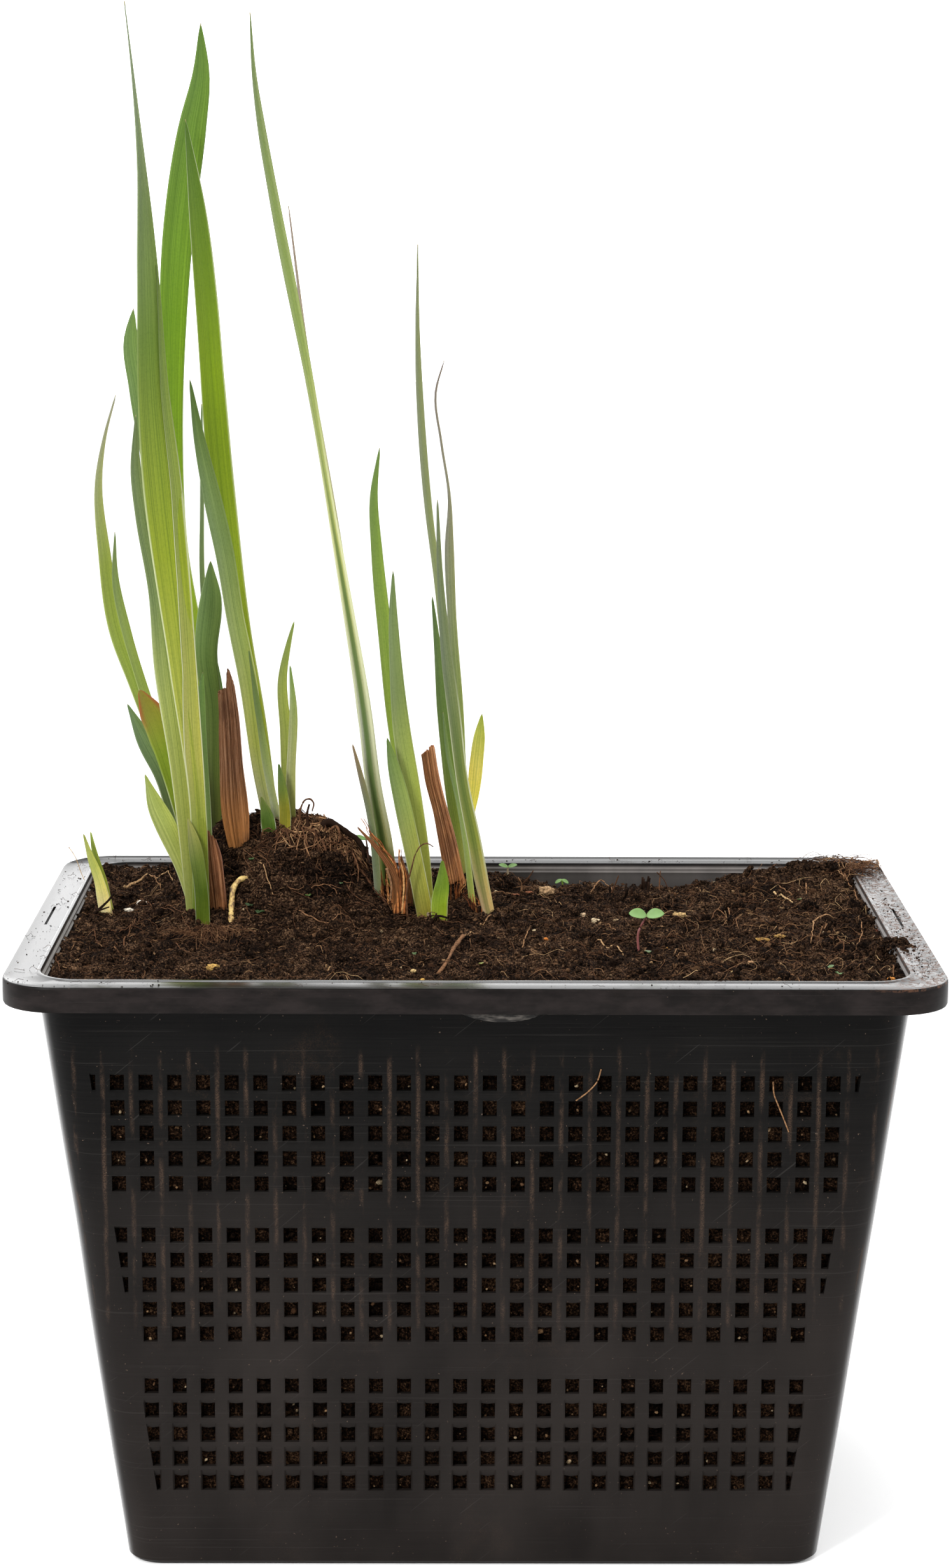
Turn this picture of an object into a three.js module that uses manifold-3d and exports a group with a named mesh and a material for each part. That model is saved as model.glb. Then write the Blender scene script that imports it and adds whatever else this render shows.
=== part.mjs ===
// Young iris shoots in a black mesh pond basket, filled with peaty soil.
//
// Millimetres, +Z up. The origin is the centre of the basket's underside.
// X runs along the basket's long side, and -Y is its front.
//
// The pieces are the basket, the soil in it, each leaf and sheath, the fibrous
// stubs and scales of last year's growth, and one bare root on the soil.

import * as THREE from 'three';
import { mergeVertices } from 'three/addons/utils/BufferGeometryUtils.js';
import Module from 'manifold-3d';

const wasm = await Module();
wasm.setup();

// Driving dimensions of the basket
const HEIGHT = 200;
const RIM_LENGTH = 300;
const RIM_WIDTH = 200;
const RIM_CORNER = 18;
const RIM_THICK = 2;
const SKIRT_HEIGHT = 8;
const SKIRT_THICK = 1.6;
const WALL = 2;
const BODY_TOP = { halfX: 140.5, halfY: 90, corner: 14 };
const BODY_FOOT = { halfX: 114, halfY: 81, corner: 11 };
const FOOT_CHAMFER = 1.5;
const CORNER_STEPS = 4;
const CLEARANCE = 0.3;
// How far a cutter reaches past the face that it cuts
const OVERCUT = 1;

// The mesh in the walls: columns of small holes in three bands
const COLUMN_PITCH = 9.1;
const HOLE_WIDTH = 4.5;
const BANDS = [
  { foot: 129.7, top: 168.8 },
  { foot: 78.4, top: 117.5 },
  { foot: 26.5, top: 65.6 },
];
const MESH_INSET = 14;
const LEAST_SLOT = 1.2;

// Drain slots in the floor
const DRAIN = { width: 5, length: 26, pitchX: 18.2, pitchY: 42, columns: 10, rows: 3 };

// One hand slit in each end of the rim
const RIM_SLIT = { x: 145.2, width: 1.8, fromY: -12, toY: 16 };

// The soil's surface
const SOIL_LEVEL = 196.5;
const CROWN = { x: -70, y: 38, height: 32, left: 32, right: 35.5, front: 30, back: 34, powerX: 4, powerY: 2.5 };
const RISE = { x: -3, y: 62, height: 6, reach: 16, power: 2 };
const HOLLOW = { x: 50, halfX: 44, depth: 6.5, fromY: 60, toY: 88, power: 4 };
const CORNER_HEAP = { x: 124, y: 74, height: 4, reach: 17, power: 2 };
const RIPPLE = { height: 0.8, lengthX: 17, shift: 1, lengthY: 13 };
const SLANTED_RIPPLE = { height: 0.5, length: 11 };
const SOIL_STEPS = { x: 26, y: 16 };
// Room left over the rim for the highest soil
const SOIL_HEADROOM = 60;

const plastic = new THREE.MeshStandardMaterial({ color: 0x1c1e20, roughness: 0.45, metalness: 0 });
const peat = new THREE.MeshStandardMaterial({ color: 0x3a2417, roughness: 1, metalness: 0 });
const green = new THREE.MeshStandardMaterial({ color: 0x7d9f4a, roughness: 0.5, metalness: 0 });
const brown = new THREE.MeshStandardMaterial({ color: 0x8a5a36, roughness: 0.8, metalness: 0 });
const pale = new THREE.MeshStandardMaterial({ color: 0xcbb26a, roughness: 0.7, metalness: 0 });

// Living leaves. Each row is a place along the midrib, from the foot up:
// x, y, z, the blade's width there, and its turn about the midrib in degrees,
// where 0 shows the blade's whole face to the front.
const LEAVES = {
  leaf_front_tall: [
    [-93, -3, 194, 6, 10], [-95, -3, 238, 7, 10], [-98, -5, 286, 9.5, 5], [-104, -9, 350, 13, 0],
    [-106, -12, 378, 10.6, 10], [-107, -15, 416, 8, 35], [-108, -19, 449, 6, 70],
    [-110, -24, 480, 2.8, 75], [-112, -28, 503, 0.6, 75]],
  leaf_front_sheath: [
    [-92, -7, 192, 5, 5], [-93, -7, 214, 4.6, 5], [-95, -6, 227, 4.1, 0], [-97, -5, 235, 0.6, 0]],
  leaf_front_long: [
    [-96, 1, 195, 4, 10], [-98, 2, 224, 5, 15], [-100, 2, 249, 6.5, 15], [-104, 3, 285, 9, 15],
    [-107, 4, 310, 6.6, 25], [-112, 5, 336, 5, 30], [-114, 7, 351, 4, 35], [-114, 9, 370, 0.6, 35]],
  leaf_front_low: [
    [-95, 8, 196, 3.5, 0], [-101, 9, 218, 6, 0], [-106, 9, 230, 7.8, -10],
    [-109, 10, 236, 6.3, -15], [-113, 12, 247, 0.6, -20]],
  leaf_front_short: [
    [-91, 4.5, 196, 4, 0], [-92, 5, 237, 4, 10], [-93, 4, 261, 3.8, 15], [-93, 3, 273, 3.4, 15],
    [-92, 2, 284, 0.6, 15]],
  leaf_front_rear: [
    [-94, 17, 204, 4, 5], [-103, 17, 290, 6, 5], [-109.5, 17, 350, 6, 5], [-113.9, 17, 378, 6, 5],
    [-116, 17, 395, 4.8, 5], [-115, 17, 405, 0.6, 5]],
  leaf_outer_dark: [
    [-97, 33, 206, 3.5, 20], [-103, 35, 222, 5.5, 20], [-109, 38, 243, 7.8, 20],
    [-116, 41, 255, 6.4, 25], [-122, 45, 266, 0.6, 30]],
  leaf_outer_orange: [
    [-97, 28, 206, 4, 10], [-102, 28, 232, 6, 10], [-107, 28, 252, 8.2, 10],
    [-112, 28, 266, 8.5, 5], [-116, 27, 274, 1.2, 0]],
  leaf_outer_inner: [
    [-99, 39, 205, 3.5, 30], [-108, 44, 245, 4.2, 30], [-117, 47, 273, 4.2, 35],
    [-122, 49, 290, 4, 40], [-126, 50, 310, 3, 45], [-126, 51, 326, 0.6, 45]],
  leaf_outer_long: [
    [-101, 44, 205, 4, 35], [-110, 48, 245, 5.5, 35], [-120, 51, 273, 5.5, 35],
    [-126, 52, 290, 5.5, 35], [-130, 54, 317, 5.3, 35], [-132, 57, 344, 2.8, 35],
    [-130, 59, 358, 1.4, 35], [-126, 61, 373, 0.6, 35]],
  leaf_back_broad: [
    [-91, 46, 214, 4.5, -20], [-92, 46, 241, 6, -20], [-92, 45, 266, 7.2, -20],
    [-94, 44, 284, 9, -20], [-92, 43, 305, 7.4, -20], [-92, 42, 317, 0.8, -20]],
  leaf_back_tall: [
    [-92, 55, 210, 4.5, 20], [-96, 58, 264, 6.8, 20], [-101, 60, 292, 8, 15],
    [-105, 62, 316, 8, 15], [-107, 65, 355, 8.4, 15], [-106, 69, 405, 10, 15],
    [-104, 72, 432, 10.8, 10], [-99, 75, 466, 9.8, 10], [-96, 76, 483, 6.2, 10],
    [-96, 77, 501, 0.6, 10]],
  leaf_back_edge_on: [
    [-91, 63, 205, 4, 60], [-94, 66, 276, 3.6, 60], [-97, 69, 308, 2.8, 60],
    [-97, 72, 336, 2.8, 60], [-97, 75, 369, 0.6, 60]],
  leaf_back_sliver: [
    [-86, 50, 215, 3, 45], [-89, 52, 255, 2.8, 45], [-90, 53, 271, 2.4, 45], [-91, 54, 280, 0.6, 45]],
  leaf_crown_leaning: [
    [-71, 38, 222, 5, 15], [-75, 37, 243, 5.2, 15], [-79, 34, 277, 6.3, 15],
    [-83, 32, 299, 6.5, 20], [-86, 30, 320, 6.6, 20], [-90, 28, 340, 6.2, 20],
    [-94, 26, 360, 4.2, 20], [-97, 24, 381, 0.6, 20]],
  leaf_crown_tall: [
    [-71, 47, 220, 5, -15], [-77, 52, 260, 6.5, -15], [-82, 56, 289, 7, -15],
    [-87, 59, 323, 9, -15], [-90, 61, 350, 9.3, -15], [-92, 62, 377, 9.1, -15],
    [-94, 64, 405, 8.7, -15], [-97, 66, 437, 6.2, -15], [-101, 68, 468, 0.6, -15]],
  leaf_crown_side: [
    [-68, 32, 223, 3.2, 30], [-72, 30, 245, 3.1, 30], [-75, 29, 266, 2.5, 30], [-78, 27, 288, 0.6, 30]],
  leaf_crown_sheath: [
    [-71, 24, 219, 5, 5], [-72, 24, 230, 4.6, 5], [-74, 24, 237, 0.6, 5]],
  leaf_small_back: [
    [-65, 37, 222, 4, 10], [-66, 38, 257, 4.2, 10], [-67, 39, 277, 3.1, 15],
    [-65, 40, 288, 2, 20], [-63, 41, 296, 0.6, 20]],
  leaf_small_front: [
    [-64, 32, 222, 3.4, -10], [-64, 32, 243, 3.3, -10], [-63, 31, 268, 2.6, -10], [-64, 31, 282, 0.6, -10]],
  leaf_small_sheath: [
    [-66, 27.5, 221, 4, 0], [-66, 27.5, 231, 4.1, 0], [-67, 27.5, 241, 2.8, 0], [-68, 27.5, 248, 0.6, 0]],
  leaf_lone_tall: [
    [-29, 24, 198, 6.2, -30], [-32, 24, 221, 8.4, -30], [-35, 23, 241, 7.4, -35],
    [-38, 22, 267, 7, -40], [-44, 20, 306, 5.4, -50], [-48, 18, 331, 5.2, -55],
    [-56, 14, 381, 6, -58], [-67, 7, 441, 6.2, -58], [-71, 4, 465, 6, -58],
    [-73, 2, 481, 3.6, -58], [-74, -1, 501, 0.6, -58]],
  leaf_lone_back: [
    [-31, 31, 198, 5, -30], [-33.2, 31, 227, 5, -30], [-39.4, 30, 266, 4, -40], [-45.4, 28, 314, 3.4, -45],
    [-51.6, 26, 355, 2.6, -45], [-56.7, 24, 387, 1.9, -45], [-63, 20, 439, 0.6, -45]],
  leaf_lone_sliver: [
    [-33, 18, 202, 2.6, 0], [-36, 18, 231, 2.2, 0], [-40, 17, 249, 1.6, 0], [-42, 16, 257, 0.6, 0]],
  leaf_middle_back: [
    [-18, 25, 194, 5, 20], [-23, 27, 235, 5.8, 20], [-28, 30, 264, 5.3, 20], [-31, 32, 292, 5.3, 20],
    [-34, 34, 322, 4, 20], [-35, 35, 340, 3, 20], [-33, 36, 357, 0.6, 20]],
  leaf_middle_front: [
    [-16, 19, 193, 5.4, 10], [-19, 18, 223, 6, 10], [-22, 17, 243, 6.3, 10], [-25, 17, 261, 6.1, 10],
    [-27, 16, 283, 4.6, 10], [-28, 16, 302, 2.9, 10], [-28, 15, 317, 0.6, 10]],
  leaf_middle_sheath: [
    [-16, 13, 193, 5.8, 0], [-21, 12, 219, 5.8, 0], [-25, 12, 238, 5.6, 0], [-28, 12, 251, 3.8, 0],
    [-30, 12, 260, 0.6, 0]],
  leaf_middle_bud: [
    [-11.5, 8, 192, 4.4, -5], [-12, 8, 203, 5.8, -5], [-11, 8, 210, 4.6, -5], [-11, 8, 218, 0.8, -5]],
  leaf_right_front: [
    [6, 22, 193, 4.2, -20], [3, 22, 206, 5.2, -20], [0, 22, 222, 5, -20], [-4, 22, 242, 4.7, -20],
    [-7, 21, 266, 4.7, -20], [-10, 20, 290, 4, -20], [-12, 19, 314, 2.4, -20], [-13, 18, 341, 0.6, -20]],
  leaf_right_middle: [
    [0, 36, 193, 2.6, -30], [-5, 36, 231, 2.2, -30], [-9, 36, 249, 1.8, -30], [-11, 35, 265, 0.6, -30]],
  leaf_right_inner: [
    [-2, 66, 198, 4.2, 20], [-6, 66, 218, 4.4, 20], [-8, 66, 235, 5.8, 20], [-11, 65, 263, 4.9, 20],
    [-13, 64, 283, 2.9, 20], [-15, 63, 302, 0.6, 20]],
  leaf_right_long: [
    [0, 58, 198, 4.5, -50], [-5, 56, 247, 5, -50], [-10, 54, 284, 4.6, -50], [-13, 53, 309, 4.4, -50],
    [-16, 51, 332, 4.8, -52], [-19, 47, 368, 3.8, -55], [-20, 44, 392, 3.2, -55],
    [-20, 40, 426, 0.6, -55]],
  leaf_right_curled: [
    [0, 75, 197, 4, 30], [-4, 76, 232, 4.2, 30], [-6, 78, 262, 4.7, 30], [-8, 80, 293, 4, 30],
    [-9, 82, 317, 3.7, 30], [-9, 83, 335, 1.5, 40], [-12, 85, 355, 1.2, 40], [-14, 86, 373, 1, 40],
    [-11, 88, 384, 0.6, 40]],
  leaf_right_yellow: [
    [-1, 81, 195, 3.4, 0], [-2, 81, 215, 3.5, 10], [0, 81, 227, 4.4, 20], [1, 81, 238, 5.4, 20],
    [2, 80, 248, 4.6, 20], [3, 80, 257, 0.6, 20]],
  leaf_far_left: [
    [-127, 17, 192, 5.2, -15], [-130, 17, 209, 4, -15], [-133, 17, 218, 2.4, -15], [-135, 17, 225, 0.6, -15]],
  leaf_far_left_back: [
    [-126, 21, 192, 3.4, -15], [-129, 21, 208, 2.8, -15], [-132, 21, 219, 1.8, -15],
    [-133, 21, 225, 0.6, -15]],
};

// Last year's dead growth, in the same form
const DEAD = {
  stub_tall: [
    [-81, 22, 212, 5, 10], [-83, 21, 231, 9.4, 10], [-84, 20, 250, 8, 10], [-85, 19, 269, 6.9, 10],
    [-86, 18, 281, 6, 10]],
  stub_right: [
    [-5, 52, 196, 7, 0], [-9, 52, 216, 6.4, 0], [-11, 52, 227, 5.7, 0], [-15, 52, 238, 5.8, 0],
    [-17, 52, 249, 5.2, 0]],
  stub_short: [
    [-87, 1, 196, 4.6, 0], [-88, 1, 208, 6, 0], [-89, 1, 219, 5.8, 0], [-90, 1, 229, 3.6, 0]],
  scale_long: [
    [-27, 14, 196, 3.4, 0], [-28, 14, 212, 2.6, 0], [-33, 14, 220, 1.8, 0], [-40, 14, 228, 0.6, 0]],
  scale_short: [
    [-23, 23, 194, 3.6, 0], [-23.8, 23, 206, 3.4, 0], [-25.5, 23, 216, 0.6, 0]],
};

const BARE_ROOT = {
  root_bare: [
    [-77, 12, 206, 2.2, 0], [-78.5, 11, 210.5, 2.2, 0], [-80.5, 8.5, 211, 2.2, 0],
    [-82.5, 6, 209, 2.2, 0], [-83, 2, 204.5, 2.2, 0], [-83, -3, 199.5, 2.2, 0],
    [-83, -5.5, 195.5, 2.2, 0]],
};

// How thick each kind of blade is against its width, with its limits, and how
// far its socket in the soil reaches round it and below it
const LEAF_THICK = { share: 0.36, least: 0.6, most: 2.4, socket: 0.4 };
const STUB_THICK = { share: 0.5, least: 0.6, most: 4, socket: 0.4 };
const ROOT_THICK = { share: 0.9, least: 0.6, most: 2.4, socket: 0.8 };

// Closed solid through a stack of rings, each with the same number of points,
// counter-clockwise seen from the last ring's end
function loft(rings) {
  const count = rings[0].length;
  const positions = rings.flat().flatMap((point) => [point.x, point.y, point.z]);
  const index = [];
  for (let r = 0; r + 1 < rings.length; r += 1) {
    for (let k = 0; k < count; k += 1) {
      const here = r * count + k;
      const next = r * count + ((k + 1) % count);
      index.push(here, next, here + count, next, next + count, here + count);
    }
  }
  const last = (rings.length - 1) * count;
  for (let k = 1; k + 1 < count; k += 1) {
    index.push(0, k + 1, k);
    index.push(last, last + k, last + k + 1);
  }
  const geometry = new THREE.BufferGeometry();
  geometry.setAttribute('position', new THREE.Float32BufferAttribute(positions, 3));
  geometry.setIndex(index);
  return geometry;
}

function toSolid(geometry) {
  const bare = geometry.clone();
  bare.deleteAttribute('normal');
  bare.deleteAttribute('uv');
  const merged = mergeVertices(bare);
  return new wasm.Manifold(new wasm.Mesh({
    numProp: 3,
    vertProperties: new Float32Array(merged.attributes.position.array),
    triVerts: new Uint32Array(merged.index.array),
  }));
}

function toGeometry(solid) {
  const result = solid.getMesh();
  const geometry = new THREE.BufferGeometry();
  geometry.setAttribute('position', new THREE.BufferAttribute(new Float32Array(result.vertProperties), 3));
  geometry.setIndex(new THREE.BufferAttribute(new Uint32Array(result.triVerts), 1));
  geometry.computeVertexNormals();
  return geometry;
}

function mesh(name, geometry, material) {
  const piece = new THREE.Mesh(geometry, material);
  piece.name = name;
  return piece;
}

// Rounded rectangle at height z
function roundedRing(halfX, halfY, corner, z) {
  const ring = [];
  const centres = [[1, 1], [-1, 1], [-1, -1], [1, -1]];
  centres.forEach(([signX, signY], quarter) => {
    for (let step = 0; step <= CORNER_STEPS; step += 1) {
      const angle = (quarter + step / CORNER_STEPS) * Math.PI / 2;
      ring.push(new THREE.Vector3(
        signX * (halfX - corner) + corner * Math.cos(angle),
        signY * (halfY - corner) + corner * Math.sin(angle), z));
    }
  });
  return ring;
}

// The tapered body's ring at height z, moved in from its outer face by inset
function bodyRing(z, inset) {
  const share = z / HEIGHT;
  const between = (key) => BODY_FOOT[key] + (BODY_TOP[key] - BODY_FOOT[key]) * share;
  return roundedRing(between('halfX') - inset, between('halfY') - inset, between('corner') - inset / 2, z);
}

// The half length or half width left for the mesh at height z
function meshLimit(key, z) {
  return BODY_FOOT[key] + (BODY_TOP[key] - BODY_FOOT[key]) * z / HEIGHT - MESH_INSET;
}

// A straight box between two corners
function box(from, to) {
  const geometry = new THREE.BoxGeometry(to[0] - from[0], to[1] - from[1], to[2] - from[2]);
  geometry.translate((from[0] + to[0]) / 2, (from[1] + to[1]) / 2, (from[2] + to[2]) / 2);
  return toSolid(geometry);
}

// Cutters for one pair of opposite walls: each column of a band is one slot,
// and the outermost slots end at the mesh's slanted border
function wallSlots(key, depth, place) {
  const slots = [];
  for (const band of BANDS) {
    const columns = Math.floor((meshLimit(key, band.top) + HOLE_WIDTH / 2) / COLUMN_PITCH + 0.5);
    for (let k = -columns; k < columns; k += 1) {
      const centre = (k + 0.5) * COLUMN_PITCH;
      const side = Math.sign(centre);
      const inner = Math.abs(centre) - HOLE_WIDTH / 2;
      const outer = inner + HOLE_WIDTH;
      const edgeFoot = Math.min(outer, meshLimit(key, band.foot));
      const edgeTop = Math.min(outer, meshLimit(key, band.top));
      if (edgeFoot - inner < LEAST_SLOT) {
        continue;
      }
      const outline = [
        [side * inner, band.foot], [side * edgeFoot, band.foot],
        [side * edgeTop, band.top], [side * inner, band.top]];
      if (side < 0) {
        outline.reverse();
      }
      const rings = [-depth, depth].map((reach) => outline.map(([u, z]) => place(u, reach, z)));
      slots.push(toSolid(loft(rings)));
    }
  }
  return slots;
}

function makeBasket() {
  const outer = toSolid(loft([
    bodyRing(0, FOOT_CHAMFER), bodyRing(FOOT_CHAMFER, 0), bodyRing(HEIGHT - RIM_THICK / 2, 0)]));
  const rim = toSolid(loft([HEIGHT - SKIRT_HEIGHT, HEIGHT].map(
    (z) => roundedRing(RIM_LENGTH / 2, RIM_WIDTH / 2, RIM_CORNER, z))));
  const underRim = toSolid(loft([HEIGHT - SKIRT_HEIGHT - OVERCUT, HEIGHT - RIM_THICK].map(
    (z) => roundedRing(
      RIM_LENGTH / 2 - SKIRT_THICK, RIM_WIDTH / 2 - SKIRT_THICK, RIM_CORNER - SKIRT_THICK, z))));
  const inside = toSolid(loft([bodyRing(WALL, WALL), bodyRing(HEIGHT + OVERCUT, WALL)]));

  let solid = rim.subtract(underRim).add(outer).subtract(inside);
  // The front and back walls are cut together, and so are the two ends
  const longCuts = wallSlots('halfX', RIM_WIDTH, (u, reach, z) => new THREE.Vector3(u, -reach, z));
  const endCuts = wallSlots('halfY', RIM_LENGTH, (u, reach, z) => new THREE.Vector3(reach, u, z));
  for (const cutter of [...longCuts, ...endCuts, ...drainSlots(), ...rimSlits()]) {
    solid = solid.subtract(cutter);
  }
  return mesh('basket', toGeometry(solid), plastic);
}

function drainSlots() {
  const slots = [];
  for (let row = 0; row < DRAIN.rows; row += 1) {
    for (let column = 0; column < DRAIN.columns; column += 1) {
      const x = (column - (DRAIN.columns - 1) / 2) * DRAIN.pitchX;
      const y = (row - (DRAIN.rows - 1) / 2) * DRAIN.pitchY;
      slots.push(box(
        [x - DRAIN.width / 2, y - DRAIN.length / 2, -WALL],
        [x + DRAIN.width / 2, y + DRAIN.length / 2, 2 * WALL]));
    }
  }
  return slots;
}

function rimSlits() {
  return [-1, 1].map((side) => box(
    [side * RIM_SLIT.x - RIM_SLIT.width / 2, RIM_SLIT.fromY, HEIGHT - 2 * RIM_THICK],
    [side * RIM_SLIT.x + RIM_SLIT.width / 2, RIM_SLIT.toY, HEIGHT + RIM_THICK]));
}

// One blade: four-sided rings across the midrib, thickest in the middle
function blade(rows, thick, grow = 0) {
  const up = new THREE.Vector3();
  const rings = rows.map(([x, y, z, width, turn], i) => {
    const before = rows[Math.max(i - 1, 0)];
    const after = rows[Math.min(i + 1, rows.length - 1)];
    up.set(after[0] - before[0], after[1] - before[1], after[2] - before[2]).normalize();
    const angle = THREE.MathUtils.degToRad(turn);
    const across = new THREE.Vector3(Math.cos(angle), Math.sin(angle), 0);
    across.addScaledVector(up, -across.dot(up)).normalize();
    const face = new THREE.Vector3().crossVectors(up, across);
    const depth = THREE.MathUtils.clamp(width * thick.share, thick.least, thick.most);
    const centre = new THREE.Vector3(x, y, z);
    if (i === 0 || i === rows.length - 1) {
      centre.addScaledVector(up, i === 0 ? -grow : grow);
    }
    return [[1, 0], [0, 1], [-1, 0], [0, -1]].map(([a, f]) => centre.clone()
      .addScaledVector(across, a * (width / 2 + 2 * grow))
      .addScaledVector(face, f * (depth / 2 + 2 * grow)));
  });
  return loft(rings);
}

// A smooth rise of height 1 that falls away over its reach
function bump(distance, reach, power) {
  return Math.exp(-(Math.abs(distance / reach) ** power));
}

// Height of the soil's surface at a place in the basket
function soilHeight(x, y) {
  const crown = bump(x - CROWN.x, x < CROWN.x ? CROWN.left : CROWN.right, CROWN.powerX)
    * bump(y - CROWN.y, y < CROWN.y ? CROWN.front : CROWN.back, CROWN.powerY);
  const rise = bump(Math.hypot(x - RISE.x, y - RISE.y), RISE.reach, RISE.power);
  const hollow = bump(x - HOLLOW.x, HOLLOW.halfX, HOLLOW.power)
    * THREE.MathUtils.smoothstep(y, HOLLOW.fromY, HOLLOW.toY);
  const heap = bump(Math.hypot(x - CORNER_HEAP.x, y - CORNER_HEAP.y), CORNER_HEAP.reach, CORNER_HEAP.power);
  const ripple = RIPPLE.height * Math.sin(x / RIPPLE.lengthX + RIPPLE.shift) * Math.cos(y / RIPPLE.lengthY)
    + SLANTED_RIPPLE.height * Math.sin((x + 2 * y) / SLANTED_RIPPLE.length);
  return SOIL_LEVEL + CROWN.height * crown + RISE.height * rise - HOLLOW.depth * hollow
    + CORNER_HEAP.height * heap + ripple;
}

// Everything under the soil's surface, as a block as large as the rim
function soilTop() {
  const spanX = RIM_LENGTH / SOIL_STEPS.x;
  const spanY = RIM_WIDTH / SOIL_STEPS.y;
  const across = SOIL_STEPS.x + 1;
  const layer = across * (SOIL_STEPS.y + 1);
  const positions = [];
  for (const top of [false, true]) {
    for (let j = 0; j <= SOIL_STEPS.y; j += 1) {
      for (let i = 0; i <= SOIL_STEPS.x; i += 1) {
        const x = -RIM_LENGTH / 2 + i * spanX;
        const y = -RIM_WIDTH / 2 + j * spanY;
        positions.push(x, y, top ? soilHeight(x, y) : 0);
      }
    }
  }
  const index = [];
  const quad = (a, b, c, d) => index.push(a, b, c, a, c, d);
  for (let j = 0; j < SOIL_STEPS.y; j += 1) {
    for (let i = 0; i < SOIL_STEPS.x; i += 1) {
      const a = j * across + i;
      quad(a, a + across, a + across + 1, a + 1);
      quad(layer + a, layer + a + 1, layer + a + across + 1, layer + a + across);
    }
  }
  for (let i = 0; i < SOIL_STEPS.x; i += 1) {
    const back = SOIL_STEPS.y * across + i;
    quad(i, i + 1, layer + i + 1, layer + i);
    quad(back + 1, back, layer + back, layer + back + 1);
  }
  for (let j = 0; j < SOIL_STEPS.y; j += 1) {
    const left = j * across;
    const right = left + SOIL_STEPS.x;
    quad(left + across, left, layer + left, layer + left + across);
    quad(right, right + across, layer + right + across, layer + right);
  }
  const geometry = new THREE.BufferGeometry();
  geometry.setAttribute('position', new THREE.Float32BufferAttribute(positions, 3));
  geometry.setIndex(index);
  return toSolid(geometry);
}

// The filling of the basket, with a socket for each piece that stands in it
function makeSoil(rooted) {
  const inset = WALL + CLEARANCE;
  const filling = toSolid(loft([bodyRing(WALL + CLEARANCE, inset), bodyRing(HEIGHT + SOIL_HEADROOM, inset)]));
  let solid = filling.intersect(soilTop());
  for (const [rows, thick] of rooted) {
    solid = solid.subtract(toSolid(blade(rows, thick, thick.socket)));
  }
  return mesh('soil', toGeometry(solid), peat);
}

const group = new THREE.Group();
group.add(makeBasket());
const kinds = [[LEAVES, LEAF_THICK, green], [DEAD, STUB_THICK, brown], [BARE_ROOT, ROOT_THICK, pale]];
const rooted = [];
for (const [pieces, thick, material] of kinds) {
  for (const [name, rows] of Object.entries(pieces)) {
    const geometry = blade(rows, thick);
    geometry.computeVertexNormals();
    group.add(mesh(name, geometry, material));
    rooted.push([rows, thick]);
  }
}
group.add(makeSoil(rooted));

export default group;
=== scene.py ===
import math

import bmesh
import bpy
import numpy as np
from mathutils import Matrix, Vector, noise
from mathutils.geometry import tessellate_polygon


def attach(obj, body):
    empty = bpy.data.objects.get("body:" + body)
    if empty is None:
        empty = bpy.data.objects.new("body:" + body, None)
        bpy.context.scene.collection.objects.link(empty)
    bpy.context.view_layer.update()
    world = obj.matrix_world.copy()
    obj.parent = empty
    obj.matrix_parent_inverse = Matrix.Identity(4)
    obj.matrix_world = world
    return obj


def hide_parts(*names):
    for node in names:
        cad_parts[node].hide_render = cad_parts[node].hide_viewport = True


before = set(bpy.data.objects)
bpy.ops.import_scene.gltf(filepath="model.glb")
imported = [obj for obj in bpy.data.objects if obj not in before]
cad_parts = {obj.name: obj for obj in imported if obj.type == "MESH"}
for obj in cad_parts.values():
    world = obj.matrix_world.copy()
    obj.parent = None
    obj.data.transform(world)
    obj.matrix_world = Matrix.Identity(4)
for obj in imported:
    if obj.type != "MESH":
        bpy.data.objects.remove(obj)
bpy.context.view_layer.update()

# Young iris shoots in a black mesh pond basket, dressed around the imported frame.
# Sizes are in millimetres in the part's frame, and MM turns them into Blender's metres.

MM = 0.001

# The basket
HEIGHT = 200
RIM = {"x": 150, "y": 100, "corner": 18}
LIP = {"x": 138.5, "y": 88, "corner": 13}
BODY_TOP = {"x": 140.5, "y": 90, "corner": 14}
BODY_FOOT = {"x": 114, "y": 81, "corner": 11}
WALL = 2
FOOT_CHAMFER = 1.5
LIP_FOOT = 196
SKIRT_FOOT = 192
SKIRT_WAVE = 0.25
# How deep the walls' dents are, how long, and how far from the foot and the top they fade out
DENT = 0.35
DENT_LENGTH = 45
DENT_FADE = 30
BAR_SUNK = 0.25
MESH_INSET = 14
COLUMN_PITCH = 9.1
HOLE_WIDTH = 4.5
HOLE_HEIGHT = 5.1
ROW_PITCH = 8.48
ROWS = 5
HOLE_COLUMNS = {"x": 14, "y": 8}
LEAST_HOLE = 0.9
EDGE = 0.5
CORNER_STEPS = 8
# Each band of mesh: the height of its top row's centre, and how far up each bar's lower edge is
# rounded off, from the top row down
BANDS = [
    {"top": 166.2, "rounding": [0.5, 0.4, 0.4, 0.4, 0.5]},
    {"top": 114.9, "rounding": [0.5, 0.6, 0.8, 1.0, 1.2]},
    {"top": 63.0, "rounding": [0.9, 1.2, 1.5, 1.8, 2.0]},
]
DRAIN = {"width": 5, "length": 26, "pitch_x": 18.2, "pitch_y": 42, "columns": 10, "rows": 3}
RIM_SLIT = {"from_y": -11.5, "to_y": 16, "inner": 0.54, "outer": 0.62}

# The soil
SOIL_LEVEL = 196.5
SOIL_FOOT = 2.4
SOIL_GAP = 2.3
SOIL_GRID = {"x": 200, "y": 128, "z": 60}
# How far clods and pits rise and fall on the soil's top, and how deep the hollows in its sides are
CLODS = 2.3
PITS = 0.9
SIDE_HOLLOWS = 1.3
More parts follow.
